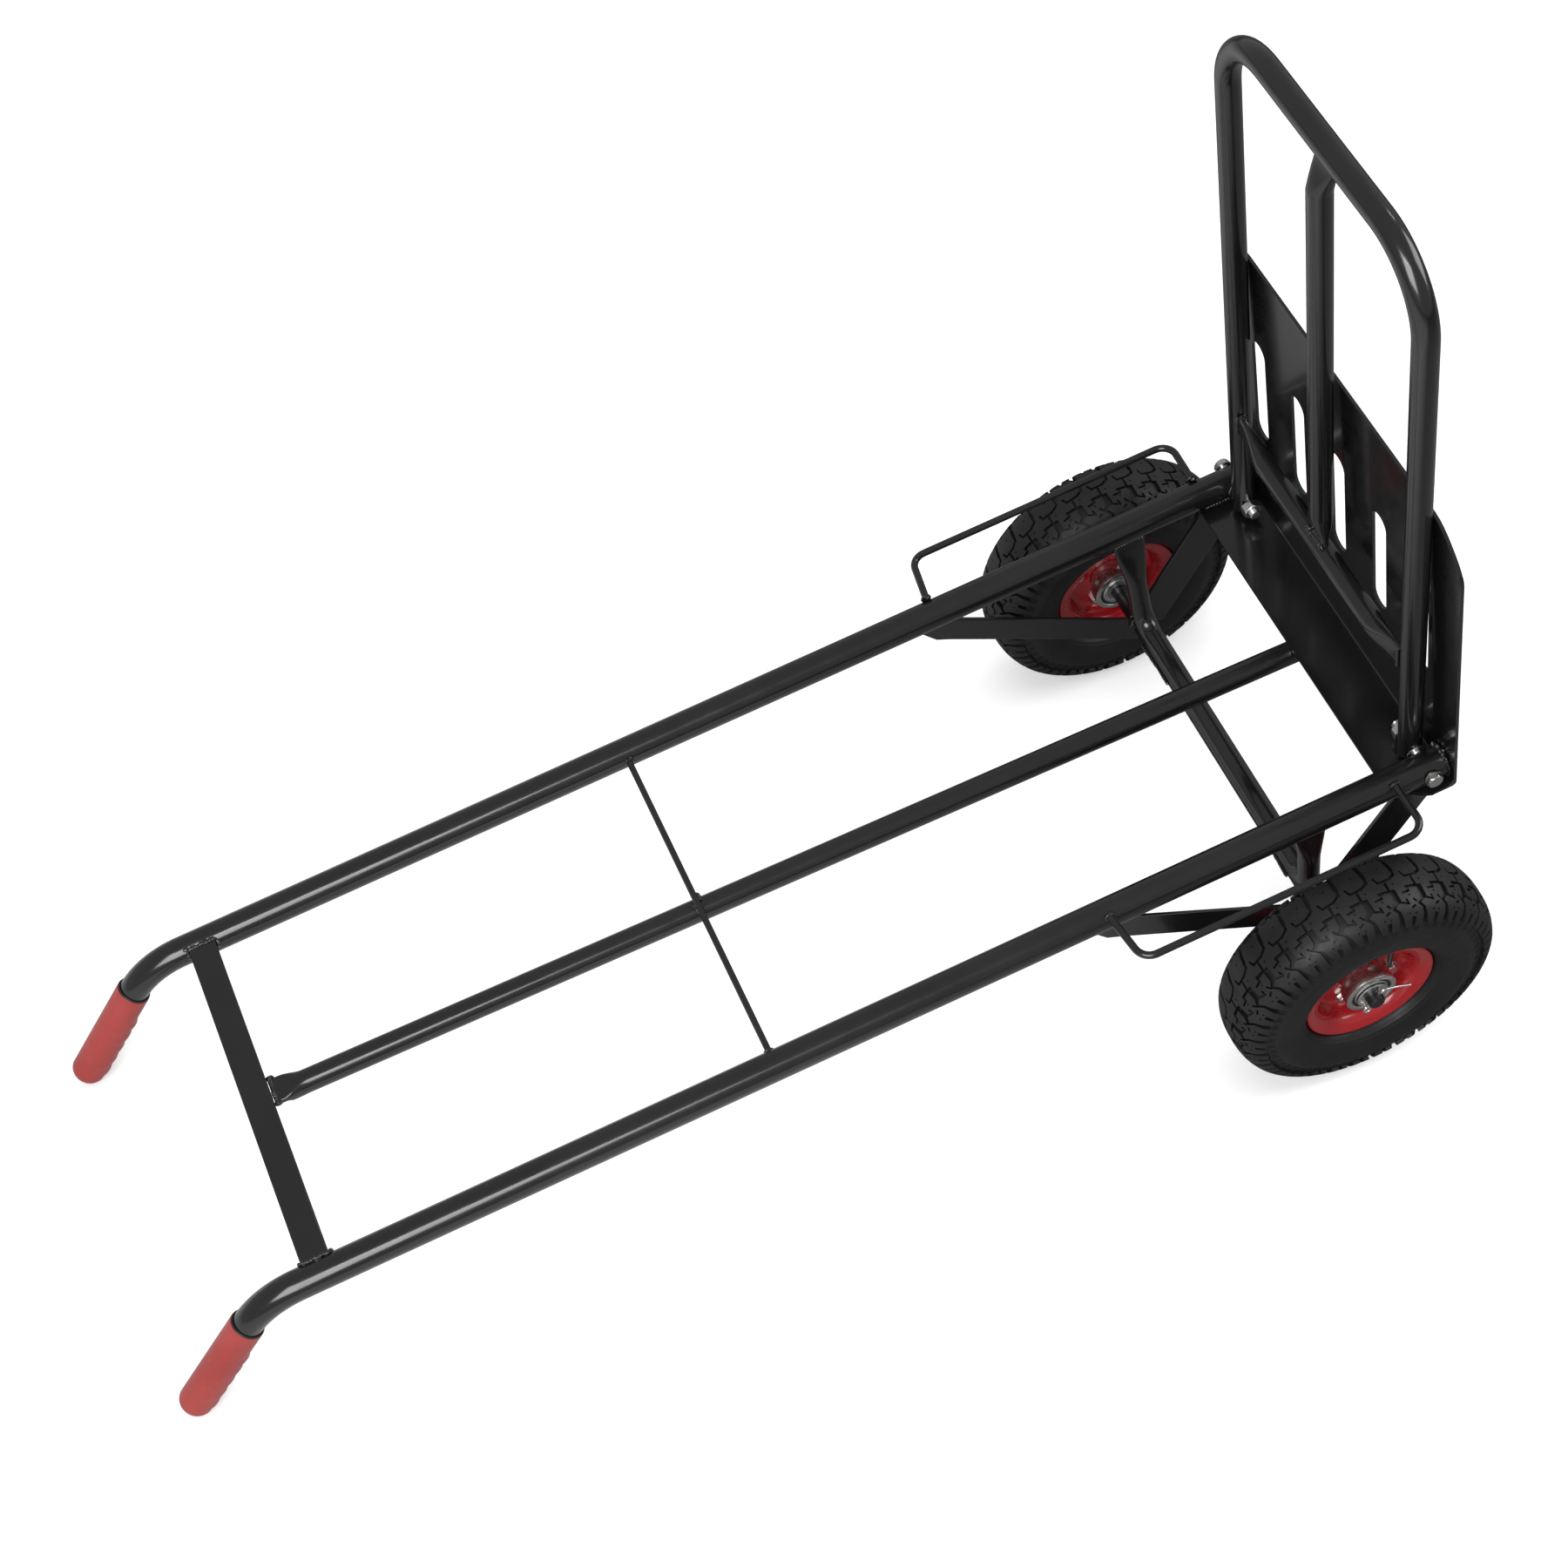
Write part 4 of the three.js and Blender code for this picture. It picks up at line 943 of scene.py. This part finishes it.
def tread_grooves():
    """Groove, pin-hole and side-mark outlines of one pitch, in (x along the tread, s across it)."""
    L = PITCH
    out = []

    def cut(line, width):
        for (x0, y0), (x1, y1) in zip(line, line[1:]):
            d = math.hypot(x1 - x0, y1 - y0)
            ex, ey = (x1 - x0) / d, (y1 - y0) / d
            h = width * 0.66
            x0_, y0_, x1_, y1_ = x0 - ex * h * 0.8, y0 - ey * h * 0.8, x1 + ex * h * 0.8, y1 + ey * h * 0.8
            out.append([(x0_ - ey * h, y0_ + ex * h), (x0_ + ey * h, y0_ - ex * h), (x1_ + ey * h, y1_ - ex * h), (x1_ - ey * h, y1_ + ex * h)])

    # centre rib: stepped edges with a cross cut that runs out of each step
    cut([(-2.9, -2.4), (8.4, -1.8)], 1.7)
    cut([(2.8, -1.6), (2.8, 9.0)], 1.8)
    cut([(2.8, 9.4), (13.0, 9.4)], 2.4)
    cut([(12.6, 13.4), (19.0, 14.2)], 1.7)
    cut([(12.6, 9.0), (12.4, 13.4)], 1.5)
    # blocks of the far half
    cut([(-2.9, -2.4), (-9.7, -6.0), (-10.2, -12.5)], 2.0)
    cut([(-10.2, -12.0), (-10.2, -28.0)], 3.0)
    cut([(-10.2, -28.0), (-6.6, -32.4), (-10.4, -37.0), (-10.8, -47.5)], 4.2)
    cut([(3.4, -32.5), (3.0, -38.0), (3.2, -47.5)], 3.0)
    cut([(-5.8, -31.8), (-1.4, -28.6), (1.4, -32.6), (5.8, -28.4), (10.6, -29.6)], 1.5)
    cut([(8.4, -1.8), (10.4, -7.4)], 1.5)
    # blocks of the near half: a wide cross groove that bends back at the shoulder
    out.append([(-2.6, 8.6), (3.4, 8.6), (3.6, 20.4), (8.8, 25.2), (3.6, 30.6), (3.6, 36.0), (4.6, 47.5), (-3.2, 47.5), (-1.0, 36.0), (0.6, 30.0), (4.2, 26.0), (0.6, 23.2), (-3.8, 22.6)])
    cut([(8.0, 25.0), (10.8, 21.6)], 1.5)
    cut([(11.4, 27.4), (14.8, 28.8)], 1.5)
    cut([(17.0, 24.8), (18.0, 20.8)], 1.5)
    cut([(17.0, 24.8), (23.4, 22.6)], 1.5)
    cut([(14.6, 38.5), (15.6, 47.5)], 3.4)
    dots = []
    for x, y in ((0, -17), (-3.8, 3.6), (13.6, 17.0), (12.0, 34.0), (18.6, 33.4), (-3.0, -40.0)):
        dots.append([(x + 1.0 * math.cos(k * math.pi / 4), y + 1.0 * math.sin(k * math.pi / 4)) for k in range(8)])
    marks = []
    for side in (1, -1):
        for x in (4.8, 8.4, 18.4, 22.0):
            marks.append([(x - 0.8, 50.0 * side), (x + 0.8, 50.0 * side), (x + 0.6, 55.6 * side), (x - 0.6, 55.6 * side)])
    shift = lambda group: [[(x + 7.96, y) for x, y in q] for q in group]
    return shift(out), shift(dots), shift(marks)


def tyre(sy):
    half = spline([[64.6, 25.0], [66.2, 30.6], [71, 35.6], [79, 38.6], [88, 39.9], [97, 40.1], [106.5, 39.4], [115.6, 36.0], [122.6, 29.9], [126.8, 21.9], [129.1, 13.4], [129.9, 5.5], [130, 0]], 14)
    prof = np.concatenate([half, (half * [1, -1])[::-1][1:]])
    sl = lengths(prof)
    sl = sl - sl[-1] / 2
    reach = sl[-1]
    L = PITCH
    tr, ty = np.gradient(prof[:, 0], sl), np.gradient(prof[:, 1], sl)
    ln = np.hypot(tr, ty)
    nr, ny = -ty / ln, tr / ln
    if nr[len(nr) // 2] < 0:
        nr, ny = -nr, -ny

    def surface(x, q, h):
        R, Y = np.interp(q, sl, prof[:, 0]), np.interp(q, sl, prof[:, 1])
        a, b = np.interp(q, sl, nr), np.interp(q, sl, ny)
        th = x / 130.0
        r = R + h * a
        return np.stack([r * np.cos(th) + AU, Y + h * b + sy * WHEEL_V, r * np.sin(th) + AW], -1)

    smooth = lambda t: np.clip(t, 0, 1) ** 2 * (3 - 2 * np.clip(t, 0, 1))

    def base(q):
        q = np.asarray(q, float)
        R = np.interp(q, sl, prof[:, 0])
        h = -3.3 + 3.3 * smooth((np.abs(q) - 50.0) / 15.0)
        for r0, wdt, hgt in ((102.4, 1.0, 0.6), (99.2, 1.0, 0.6), (73.0, 0.9, 0.5), (69.6, 0.8, 0.5)):
            h = h + hgt * np.clip(1 - ((R - r0) / wdt) ** 2, 0, 1) * (np.abs(q) > 60)
        return h

    EDGE = 47.0
    grooves, dots, marks = tread_grooves()
    kinds = [(b, 4) for b in grooves] + [(d, 2) for d in dots] + [(m, 3) for m in marks]
    copies = []
    for poly, kind in kinds:
        for k in (-1, 0, 1):
            q = [(x + k * L, y) for x, y in poly]
            xs = [x for x, y in q]
            if max(xs) > -3 and min(xs) < L + 3:
                copies.append((q, kind))
    cols = [L * k / 8 for k in range(9)]
    pts, edges = [], []

    def chain(line, loop=False):
        base_ = len(pts)
        pts.extend(line)
        edges.extend((base_ + i, base_ + i + 1) for i in range(len(line) - 1))
        if loop:
            edges.append((base_ + len(line) - 1, base_))

    rows = list(np.arange(-45, 45.1, 3.0)) + [-reach, reach, -EDGE, EDGE]
    for sgn in (1, -1):
        rows += [sgn * y for y in list(np.arange(49.0, 57.1, 2.0)) + list(np.arange(58.0, reach - 0.9, 1.0))]
    for x in (0.0, L):
        chain([(x, y) for y in sorted(rows)])
    for y in [r for r in rows if abs(r) > EDGE - 0.1]:
        chain([(x, y) for x in cols])
    for q, kind in copies:
        dense = []
        for i, a in enumerate(q):
            b = q[(i + 1) % len(q)]
            n = max(1, int(math.hypot(b[0] - a[0], b[1] - a[1]) / 3.4)) if kind == 4 else 1
            dense += [(a[0] + (b[0] - a[0]) * k / n, a[1] + (b[1] - a[1]) * k / n) for k in range(n)]
        chain(dense, True)

    def inside(p, poly):
        hit = False
        x1, y1 = poly[-1]
        for x2, y2 in poly:
            if (y1 > p[1]) != (y2 > p[1]) and p[0] < (x2 - x1) * (p[1] - y1) / (y2 - y1) + x1:
                hit = not hit
            x1, y1 = x2, y2
        return hit

    def near(p):
        for q, kind in copies:
            for i in range(len(q)):
                a, b = q[i - 1], q[i]
                dx, dy = b[0] - a[0], b[1] - a[1]
                t = max(0, min(1, ((p[0] - a[0]) * dx + (p[1] - a[1]) * dy) / (dx * dx + dy * dy)))
                if math.hypot(p[0] - a[0] - t * dx, p[1] - a[1] - t * dy) < 0.8:
                    return True
        return False

    for y in rows:
        if abs(y) < EDGE - 0.5:
            pts.extend([(x, y) for x in cols[1:-1] if not near((x, y))])
    vo, eo, fo, *_ = delaunay_2d_cdt([Vector(q) for q in pts], edges, [], 0, 1e-5)
    vo = [(q[0], q[1]) for q in vo]
    ids, xy, kind_of, faces = {}, [], [], []

    def vid(i, kind):
        key = (i, kind)
        if key not in ids:
            ids[key] = len(xy)
            xy.append(vo[i])
            kind_of.append(kind)
        return ids[key]

    side_of = {}
    for f in fo:
        c = (sum(vo[i][0] for i in f) / len(f), sum(vo[i][1] for i in f) / len(f))
        if not (0 < c[0] < L) or abs(c[1]) > reach:
            continue
        kind = 1 if abs(c[1]) < EDGE else 0
        for q, k in copies:
            if inside(c, q):
                kind = 0 if k == 4 else k
                if k == 4:
                    break
        faces.append(tuple(vid(i, kind) for i in f))
        for i in range(len(f)):
            side_of.setdefault((f[i], f[(i + 1) % len(f)]), kind)
    for (a, b), k in list(side_of.items()):
        o = side_of.get((b, a))
        if o is not None and o != k and k > o:
            faces.append((vid(b, k), vid(a, k), vid(a, o), vid(b, o)))  # the wall between two levels
    X = np.array([q[0] for q in xy])
    S = np.array([q[1] for q in xy])
    K = np.array(kind_of)
    hb = base(S)
    H = np.where(K == 1, 0.0, np.where(K == 2, -1.3, np.where(K == 3, hb + 0.55, hb)))
    # painted shade mask: the groove floors on the tread and the pin holes are set to darken
    dark = np.where(K == 0, np.clip((50 - np.abs(S)) / 8.0, 0, 1), np.where(K == 2, 1.0, 0.0))
    n = len(X)
    V, F, D = [], [], []
    for k in range(PITCHES):
        V.append(surface(X + k * L, S, H))
        D.append(dark)
        F += [tuple(i + k * n for i in f) for f in faces]
    inner = np.array([[64.2, -24.6], [57, -24.4], [52.5, -23.2], [50.2, -19.5], [50.0, -12], [56, -9], [70, -20], [84, -27], [84, 27], [70, 20], [56, 9], [50.0, 12], [50.2, 19.5], [52.5, 23.2], [57, 24.4], [64.2, 24.6]])
    first = surface(np.array([0.0]), np.array([-reach]), base([-reach]))[0]
    if (first[1] - sy * WHEEL_V) > 0:
        inner = inner * [1, -1]
    th = np.array([c / 130.0 + k * L / 130.0 for k in range(PITCHES) for c in cols[:-1]])
    m = len(inner) + 2
    lo = surface(th * 130.0, np.full(len(th), -reach), base(np.full(len(th), -reach)))
    hi = surface(th * 130.0, np.full(len(th), reach), base(np.full(len(th), reach)))
    mid = np.stack([inner[None, :, 0] * np.cos(th)[:, None] + AU, inner[None, :, 1] + sy * WHEEL_V + 0 * th[:, None], inner[None, :, 0] * np.sin(th)[:, None] + AW], -1)
    grid = np.concatenate([lo[:, None], mid, hi[:, None]], 1)
    o = n * PITCHES
    V.append(grid.reshape(-1, 3))
    D.append(np.zeros(len(th) * m))
    for i in range(len(th)):
        i2 = (i + 1) % len(th)
        F += [(o + i * m + j, o + i * m + j + 1, o + i2 * m + j + 1, o + i2 * m + j) for j in range(m - 1)]
    return np.concatenate(V), F, np.concatenate(D)


for sy, name in ((1, "left"), (-1, "right")):
    v, f, g = tyre(sy)
    me = bpy.data.meshes.new("tyre_tread_" + name)
    me.from_pydata(world(v).tolist(), [], f)
    me.materials.append(TYRE)
    a = me.attributes.new("painted_shade", "FLOAT", "POINT")
    a.data.foreach_set("value", g.astype(np.float32))
    bm = bmesh.new()
    bm.from_mesh(me)
    bmesh.ops.remove_doubles(bm, verts=bm.verts, dist=1.2e-5)
    bmesh.ops.recalc_face_normals(bm, faces=bm.faces)
    open_edges = sum(1 for e in bm.edges if len(e.link_faces) != 2)
    print("tyre", name, "faces", len(bm.faces), "edges not shared by two faces", open_edges)
    bm.to_mesh(me)
    bm.free()
    me.shade_smooth()
    me.set_sharp_from_angle(angle=math.radians(42))
    ob = bpy.data.objects.new("tyre_tread_" + name, me)
    bpy.context.scene.collection.objects.link(ob)
    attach(ob, "wheel_" + name)
    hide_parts("tyre_" + name)

# ---------------------------------------------------------------- rims and hubs
for sy, name in ((1, "left"), (-1, "right")):
    cen = np.array([AU, sy * WHEEL_V, AW])
    body = "wheel_" + name
    for io, tag in ((1, "outer"), (-1, "inner")):
        # pressed half: dished centre, drum wall, bead seat and a rolled lip
        outer = spline([[20.2, 5.6], [23, 5.0], [30, 4.9], [39, 5.0], [43.2, 6.2], [45.6, 9.8], [46.8, 16], [48.4, 21.2], [51.6, 25.4], [55.4, 27.6], [59.2, 28.9], [61.8, 29.2], [63.6, 28.4], [64.1, 26.6], [63.4, 25.2]], 6)
        back = spline([[62.0, 25.9], [60.6, 26.6], [56.6, 25.6], [53.4, 23.6], [50.6, 20], [49.0, 15.4], [47.8, 9.0], [45.6, 4.4], [41.6, 2.6], [30, 2.3], [20.2, 2.3]], 5)
        prof = np.concatenate([outer, back])
        G = Geo()
        G.add(*turned(prof * [1, io * sy], cen, 144))
        G.build("rim_" + tag + "_pressing_" + name, [RED], body, ["rim_%s_%s" % (tag, name)], 75)
    # hub barrel with rolled end cups
    cup = [[19.4, 0], [19.4, 12], [23.4, 15.5], [24.6, 19], [25.2, 29.2], [24.8, 30.4], [23.6, 31.0], [20.4, 31.0], [19.6, 30.2], [19.4, 28.2], [16.9, 28.0], [16.5, 29.8], [15.6, 30.6], [11.8, 30.6], [11.0, 29.8], [10.9, 27.0], [8.35, 27.0], [8.35, 0]]
    G = Geo()
    for io in (1, -1):
        G.add(*turned(np.array(cup) * [1, io], cen, 72))
    G.add(*turned([[19.0, 1.9], [40.6, 1.9], [41, 1.4], [41, -1.4], [40.6, -1.9], [19.0, -1.9]], cen, 72))
    G.build("hub_body_" + name, [ZINC], body, ["hub_" + name], 30)
    for io, tag in ((1, "outer"), (-1, "inner")):
        o = io * sy
        G = Geo()
        G.add(*turned(np.array([[11.0, 26.0], [19.3, 26.0], [19.3, 28.4], [16.6, 28.7], [11.0, 28.4]]) * [1, o], cen, 64), 0)
        G.add(*turned(np.array([[8.4, 27.2], [10.8, 27.2], [10.8, 30.9], [10.4, 31.2], [8.4, 31.2]]) * [1, o], cen, 56), 1)
        G.build("bearing_ring_%s_%s" % (tag, name), [SEAL, STEEL], body, ["bearing_%s_%s" % (tag, name)], 30)
    # clamp bolts and nuts through the dished centres
    for k in range(4):
        q = math.radians(20 + 90 * k) + TILT
        p = cen + np.array([36 * math.cos(q), 0, -36 * math.sin(q)])
        ax = np.array([0, sy, 0.0])
        G = Geo()
        G.add(*turned([[3.2, 5.0], [7.6, 5.0], [7.8, 5.3], [7.8, 6.0], [7.5, 6.3], [3.2, 6.3]], p, 32, ax))
        G.add(*hexhead(p + ax * 6.3, ax, 10.2, 4.4, (math.cos(q + k), 0, math.sin(q + k)), 36))
        G.add(*turned([[0.01, -12.4], [2.4, -12.4], [2.95, -11.8], [2.95, 6.4], [0.01, 6.4]], p, 20, ax, closed=False))
        G.build("clamp_bolt_%d_%s" % (k + 1, name), [ZINC], body, ["rim_bolt_%d_%s" % (k + 1, name)], 28)
        G = Geo()
        G.add(*hexhead(p - ax * 5.0, -ax, 10.2, 5.0, (math.cos(q + 2 * k), 0, math.sin(q + 2 * k)), 36))
        G.build("clamp_nut_%d_%s" % (k + 1, name), [ZINC], body, ["rim_nut_%d_%s" % (k + 1, name)], 28)
    # valve stem with a knurled cap
    q = math.radians(-60) + TILT
    d = np.array([math.cos(q), 0, -math.sin(q)])
    ax = unit(-0.8 * d + np.array([0, 0.6 * sy, 0]))
    base = cen + d * 46.0 + np.array([0, 16.0 * sy, 0])
    G = Geo()
    G.add(*turned([[0.01, -1.5], [5.6, -1.5], [5.8, 0], [4.6, 1.6], [3.9, 3.2], [3.7, 10], [3.0, 11], [0.01, 11]], base, 32, ax, (0.0, 0.3, 1) if abs(ax[2]) < 0.9 else (1, 0, 0), closed=False), 0)
    cap = [[0.01, 10.6], [3.3, 10.6]] + [[3.3 + 0.18 * (i % 2), 11 + 0.45 * i] for i in range(10)] + [[2.8, 16.0], [0.01, 16.2]]
    G.add(*turned(cap, base, 24, ax, (0.0, 0.3, 1), closed=False), 1)
    G.build("valve_" + name, [SEAL, SEAL], body, ["valve_stem_" + name], 40)

# ---------------------------------------------------------------- axle ends
for sy, name in ((1, "left"), (-1, "right")):
    cen = np.array([AU, sy * WHEEL_V, AW])
    G = Geo()
    G.add(*turned(np.array([[8.3, 31.5], [15.2, 31.5], [15.6, 31.9], [15.6, 33.2], [15.2, 33.6], [8.3, 33.6]]) * [1, sy], cen, 56))
    G.build("end_washer_" + name, [ZINC], "frame", ["axle_washer_" + name], 30)
    # split pin: an eye on the handle side, both legs opened past the axle
    y = sy * 37.0
    e, n_ = np.array([0.53, 0, 0.848]), np.array([-0.848, 0, 0.53])
    at = lambda a_, b_, c_=0.0: cen + a_ * e + b_ * n_ + np.array([0, y + c_ * sy, 0])
    eye = [at(-15.4 + 3.9 * math.cos(q_), 3.6 * math.sin(q_)) for q_ in np.radians(np.linspace(30, 330, 24))]
    one = [at(9.0, -26.6, -2.2), at(9.6, -20, -1.4), at(10.6, -12, -0.4), at(10.9, -5.5), at(10.0, -1.9), at(7.0, -1.05), at(2, -0.95), at(-8, -0.95)][::-1]
    one = [at(-8, 0.95), at(2, 0.95), at(8, 1.0), at(12.6, 1.6), at(15.2, 3.2, 0.6), at(16.2, 6.2, 1.4)]
    bent = np.array([[35.7, 0, -3.9], [30.0, 0, -0.6], [24.0, 0, 3.1], [18.0, 0, 6.0], [12.2, 0, 8.4], [8.6, 0, 9.0]])
    two = [cen + q_ + np.array([0, y - 0.02 * k_ * sy, 0]) for k_, q_ in enumerate(bent)] + [at(8.0, -1.2), at(2, -0.95), at(-8, -0.95)]
    path = spline(np.array(two + eye[::-1] + one), 3)
    T = np.array([unit(t) for t in np.gradient(path, axis=0)])
    G = Geo()
    G.add(*sweep(path, T, [0, 1, 0], lambda i: oval(0.95, 1.35, 14)))
    G.build("pin_wire_" + name, [ZINC], "frame", ["split_pin_" + name], 60)

# ---------------------------------------------------------------- stage
bpy.ops.mesh.primitive_plane_add(size=60, location=(0, 0, -0.0005))
floor = bpy.context.object
floor.name = "floor"
fm, nt, b = nodes_of("studio_floor")
t = ramp(nt, noise(nt, obj_co(nt), 3, 4), [(0.3, (0.86, 0.86, 0.86)), (0.7, (0.88, 0.88, 0.88))])
# painted shade in reflections: the camera sees the pale floor, every other ray sees a dimmer floor that darkens towards
# +x
seen = nt.nodes.new("ShaderNodeLightPath")
apart = nt.nodes.new("ShaderNodeSeparateXYZ")
nt.links.new(obj_co(nt), apart.inputs[0])
away = maprange(nt, apart.outputs[0], 0.02, 0.46, 0.5, 0.14)
reflected_floor_shade = nt.nodes.new("ShaderNodeCombineColor")
for k in range(3):
    nt.links.new(away, reflected_floor_shade.inputs[k])
nt.links.new(mixc(nt, seen.outputs["Is Camera Ray"], reflected_floor_shade.outputs[0], t), b.inputs["Base Color"])
b.inputs["Emission Color"].default_value = (1, 1, 1, 1)
# painted light: the floor glows for the camera only, more strongly further from the origin
reach_ = nt.nodes.new("ShaderNodeVectorMath")
reach_.operation = "LENGTH"
nt.links.new(obj_co(nt), reach_.inputs[0])
glow = maprange(nt, reach_.outputs["Value"], 1.4, 6.0, 0.3, 0.95)
nt.links.new(mul(nt, seen.outputs["Is Camera Ray"], glow), b.inputs["Emission Strength"])
b.inputs["Roughness"].default_value = 0.9
b.inputs["Specular IOR Level"].default_value = 0.1
floor.data.materials.append(fm)

world_ = bpy.data.worlds.new("studio")
bpy.context.scene.world = world_
world_.use_nodes = True
bg = world_.node_tree.nodes["Background"]
bg.inputs["Color"].default_value = (1, 1, 1, 1)
ray = world_.node_tree.nodes.new("ShaderNodeLightPath")
world_.node_tree.links.new(maprange(world_.node_tree, ray.outputs["Is Camera Ray"], 0, 1, 0.34, 1.0), bg.inputs["Strength"])


def softbox(name, loc, target, size, power, sy=None, glossy=True):
    l = bpy.data.lights.new(name, "AREA")
    l.shape = "RECTANGLE"
    l.size, l.size_y = size, sy or size
    l.energy = power
    o = bpy.data.objects.new(name, l)
    bpy.context.scene.collection.objects.link(o)
    o.location = loc
    o.rotation_euler = (Vector(target) - Vector(loc)).to_track_quat("-Z", "Y").to_euler()
    o.visible_glossy = glossy
    o.visible_camera = False
    return o


softbox("key", (-2.0, -2.6, 3.2), (0, 0, 0.2), 2.6, 128)
softbox("fill", (3.0, -0.6, 2.2), (0.3, 0, 0.2), 1.8, 36)
softbox("top", (0.0, 0.0, 4.4), (0, 0, 0.2), 3.6, 110, 3.2, glossy=False)
softbox("strip", (-1.1, -1.7, 3.3), (0, 0, 0.3), 0.9, 3.4, 0.2)
softbox("strip_two", (1.9, 0.9, 2.7), (0.3, 0, 0.3), 0.5, 2.4, 0.22)

cam = bpy.data.cameras.new("camera")
cam.lens = 3491.0 / 1800 * 36
cam.sensor_width = 36
cam.shift_x, cam.shift_y = 5.39 / 1800, 1.62 / 1800
co = bpy.data.objects.new("camera", cam)
bpy.context.scene.collection.objects.link(co)
right = np.array([0.9085815, -0.3823654, -0.1681556]) @ BASIS
down = np.array([-0.4103754, -0.7420105, -0.5301061]) @ BASIS
fwd = np.array([0.0779210, 0.5506515, -0.8310904]) @ BASIS
pos = world([[-734.51, -1454.96, 2315.58]])[0]
M = Matrix([[right[i], -down[i], -fwd[i], pos[i]] for i in range(3)] + [[0, 0, 0, 1]])
co.matrix_world = M
bpy.context.scene.camera = co
bpy.context.scene.view_settings.view_transform = "Standard"
cam.clip_end = 100
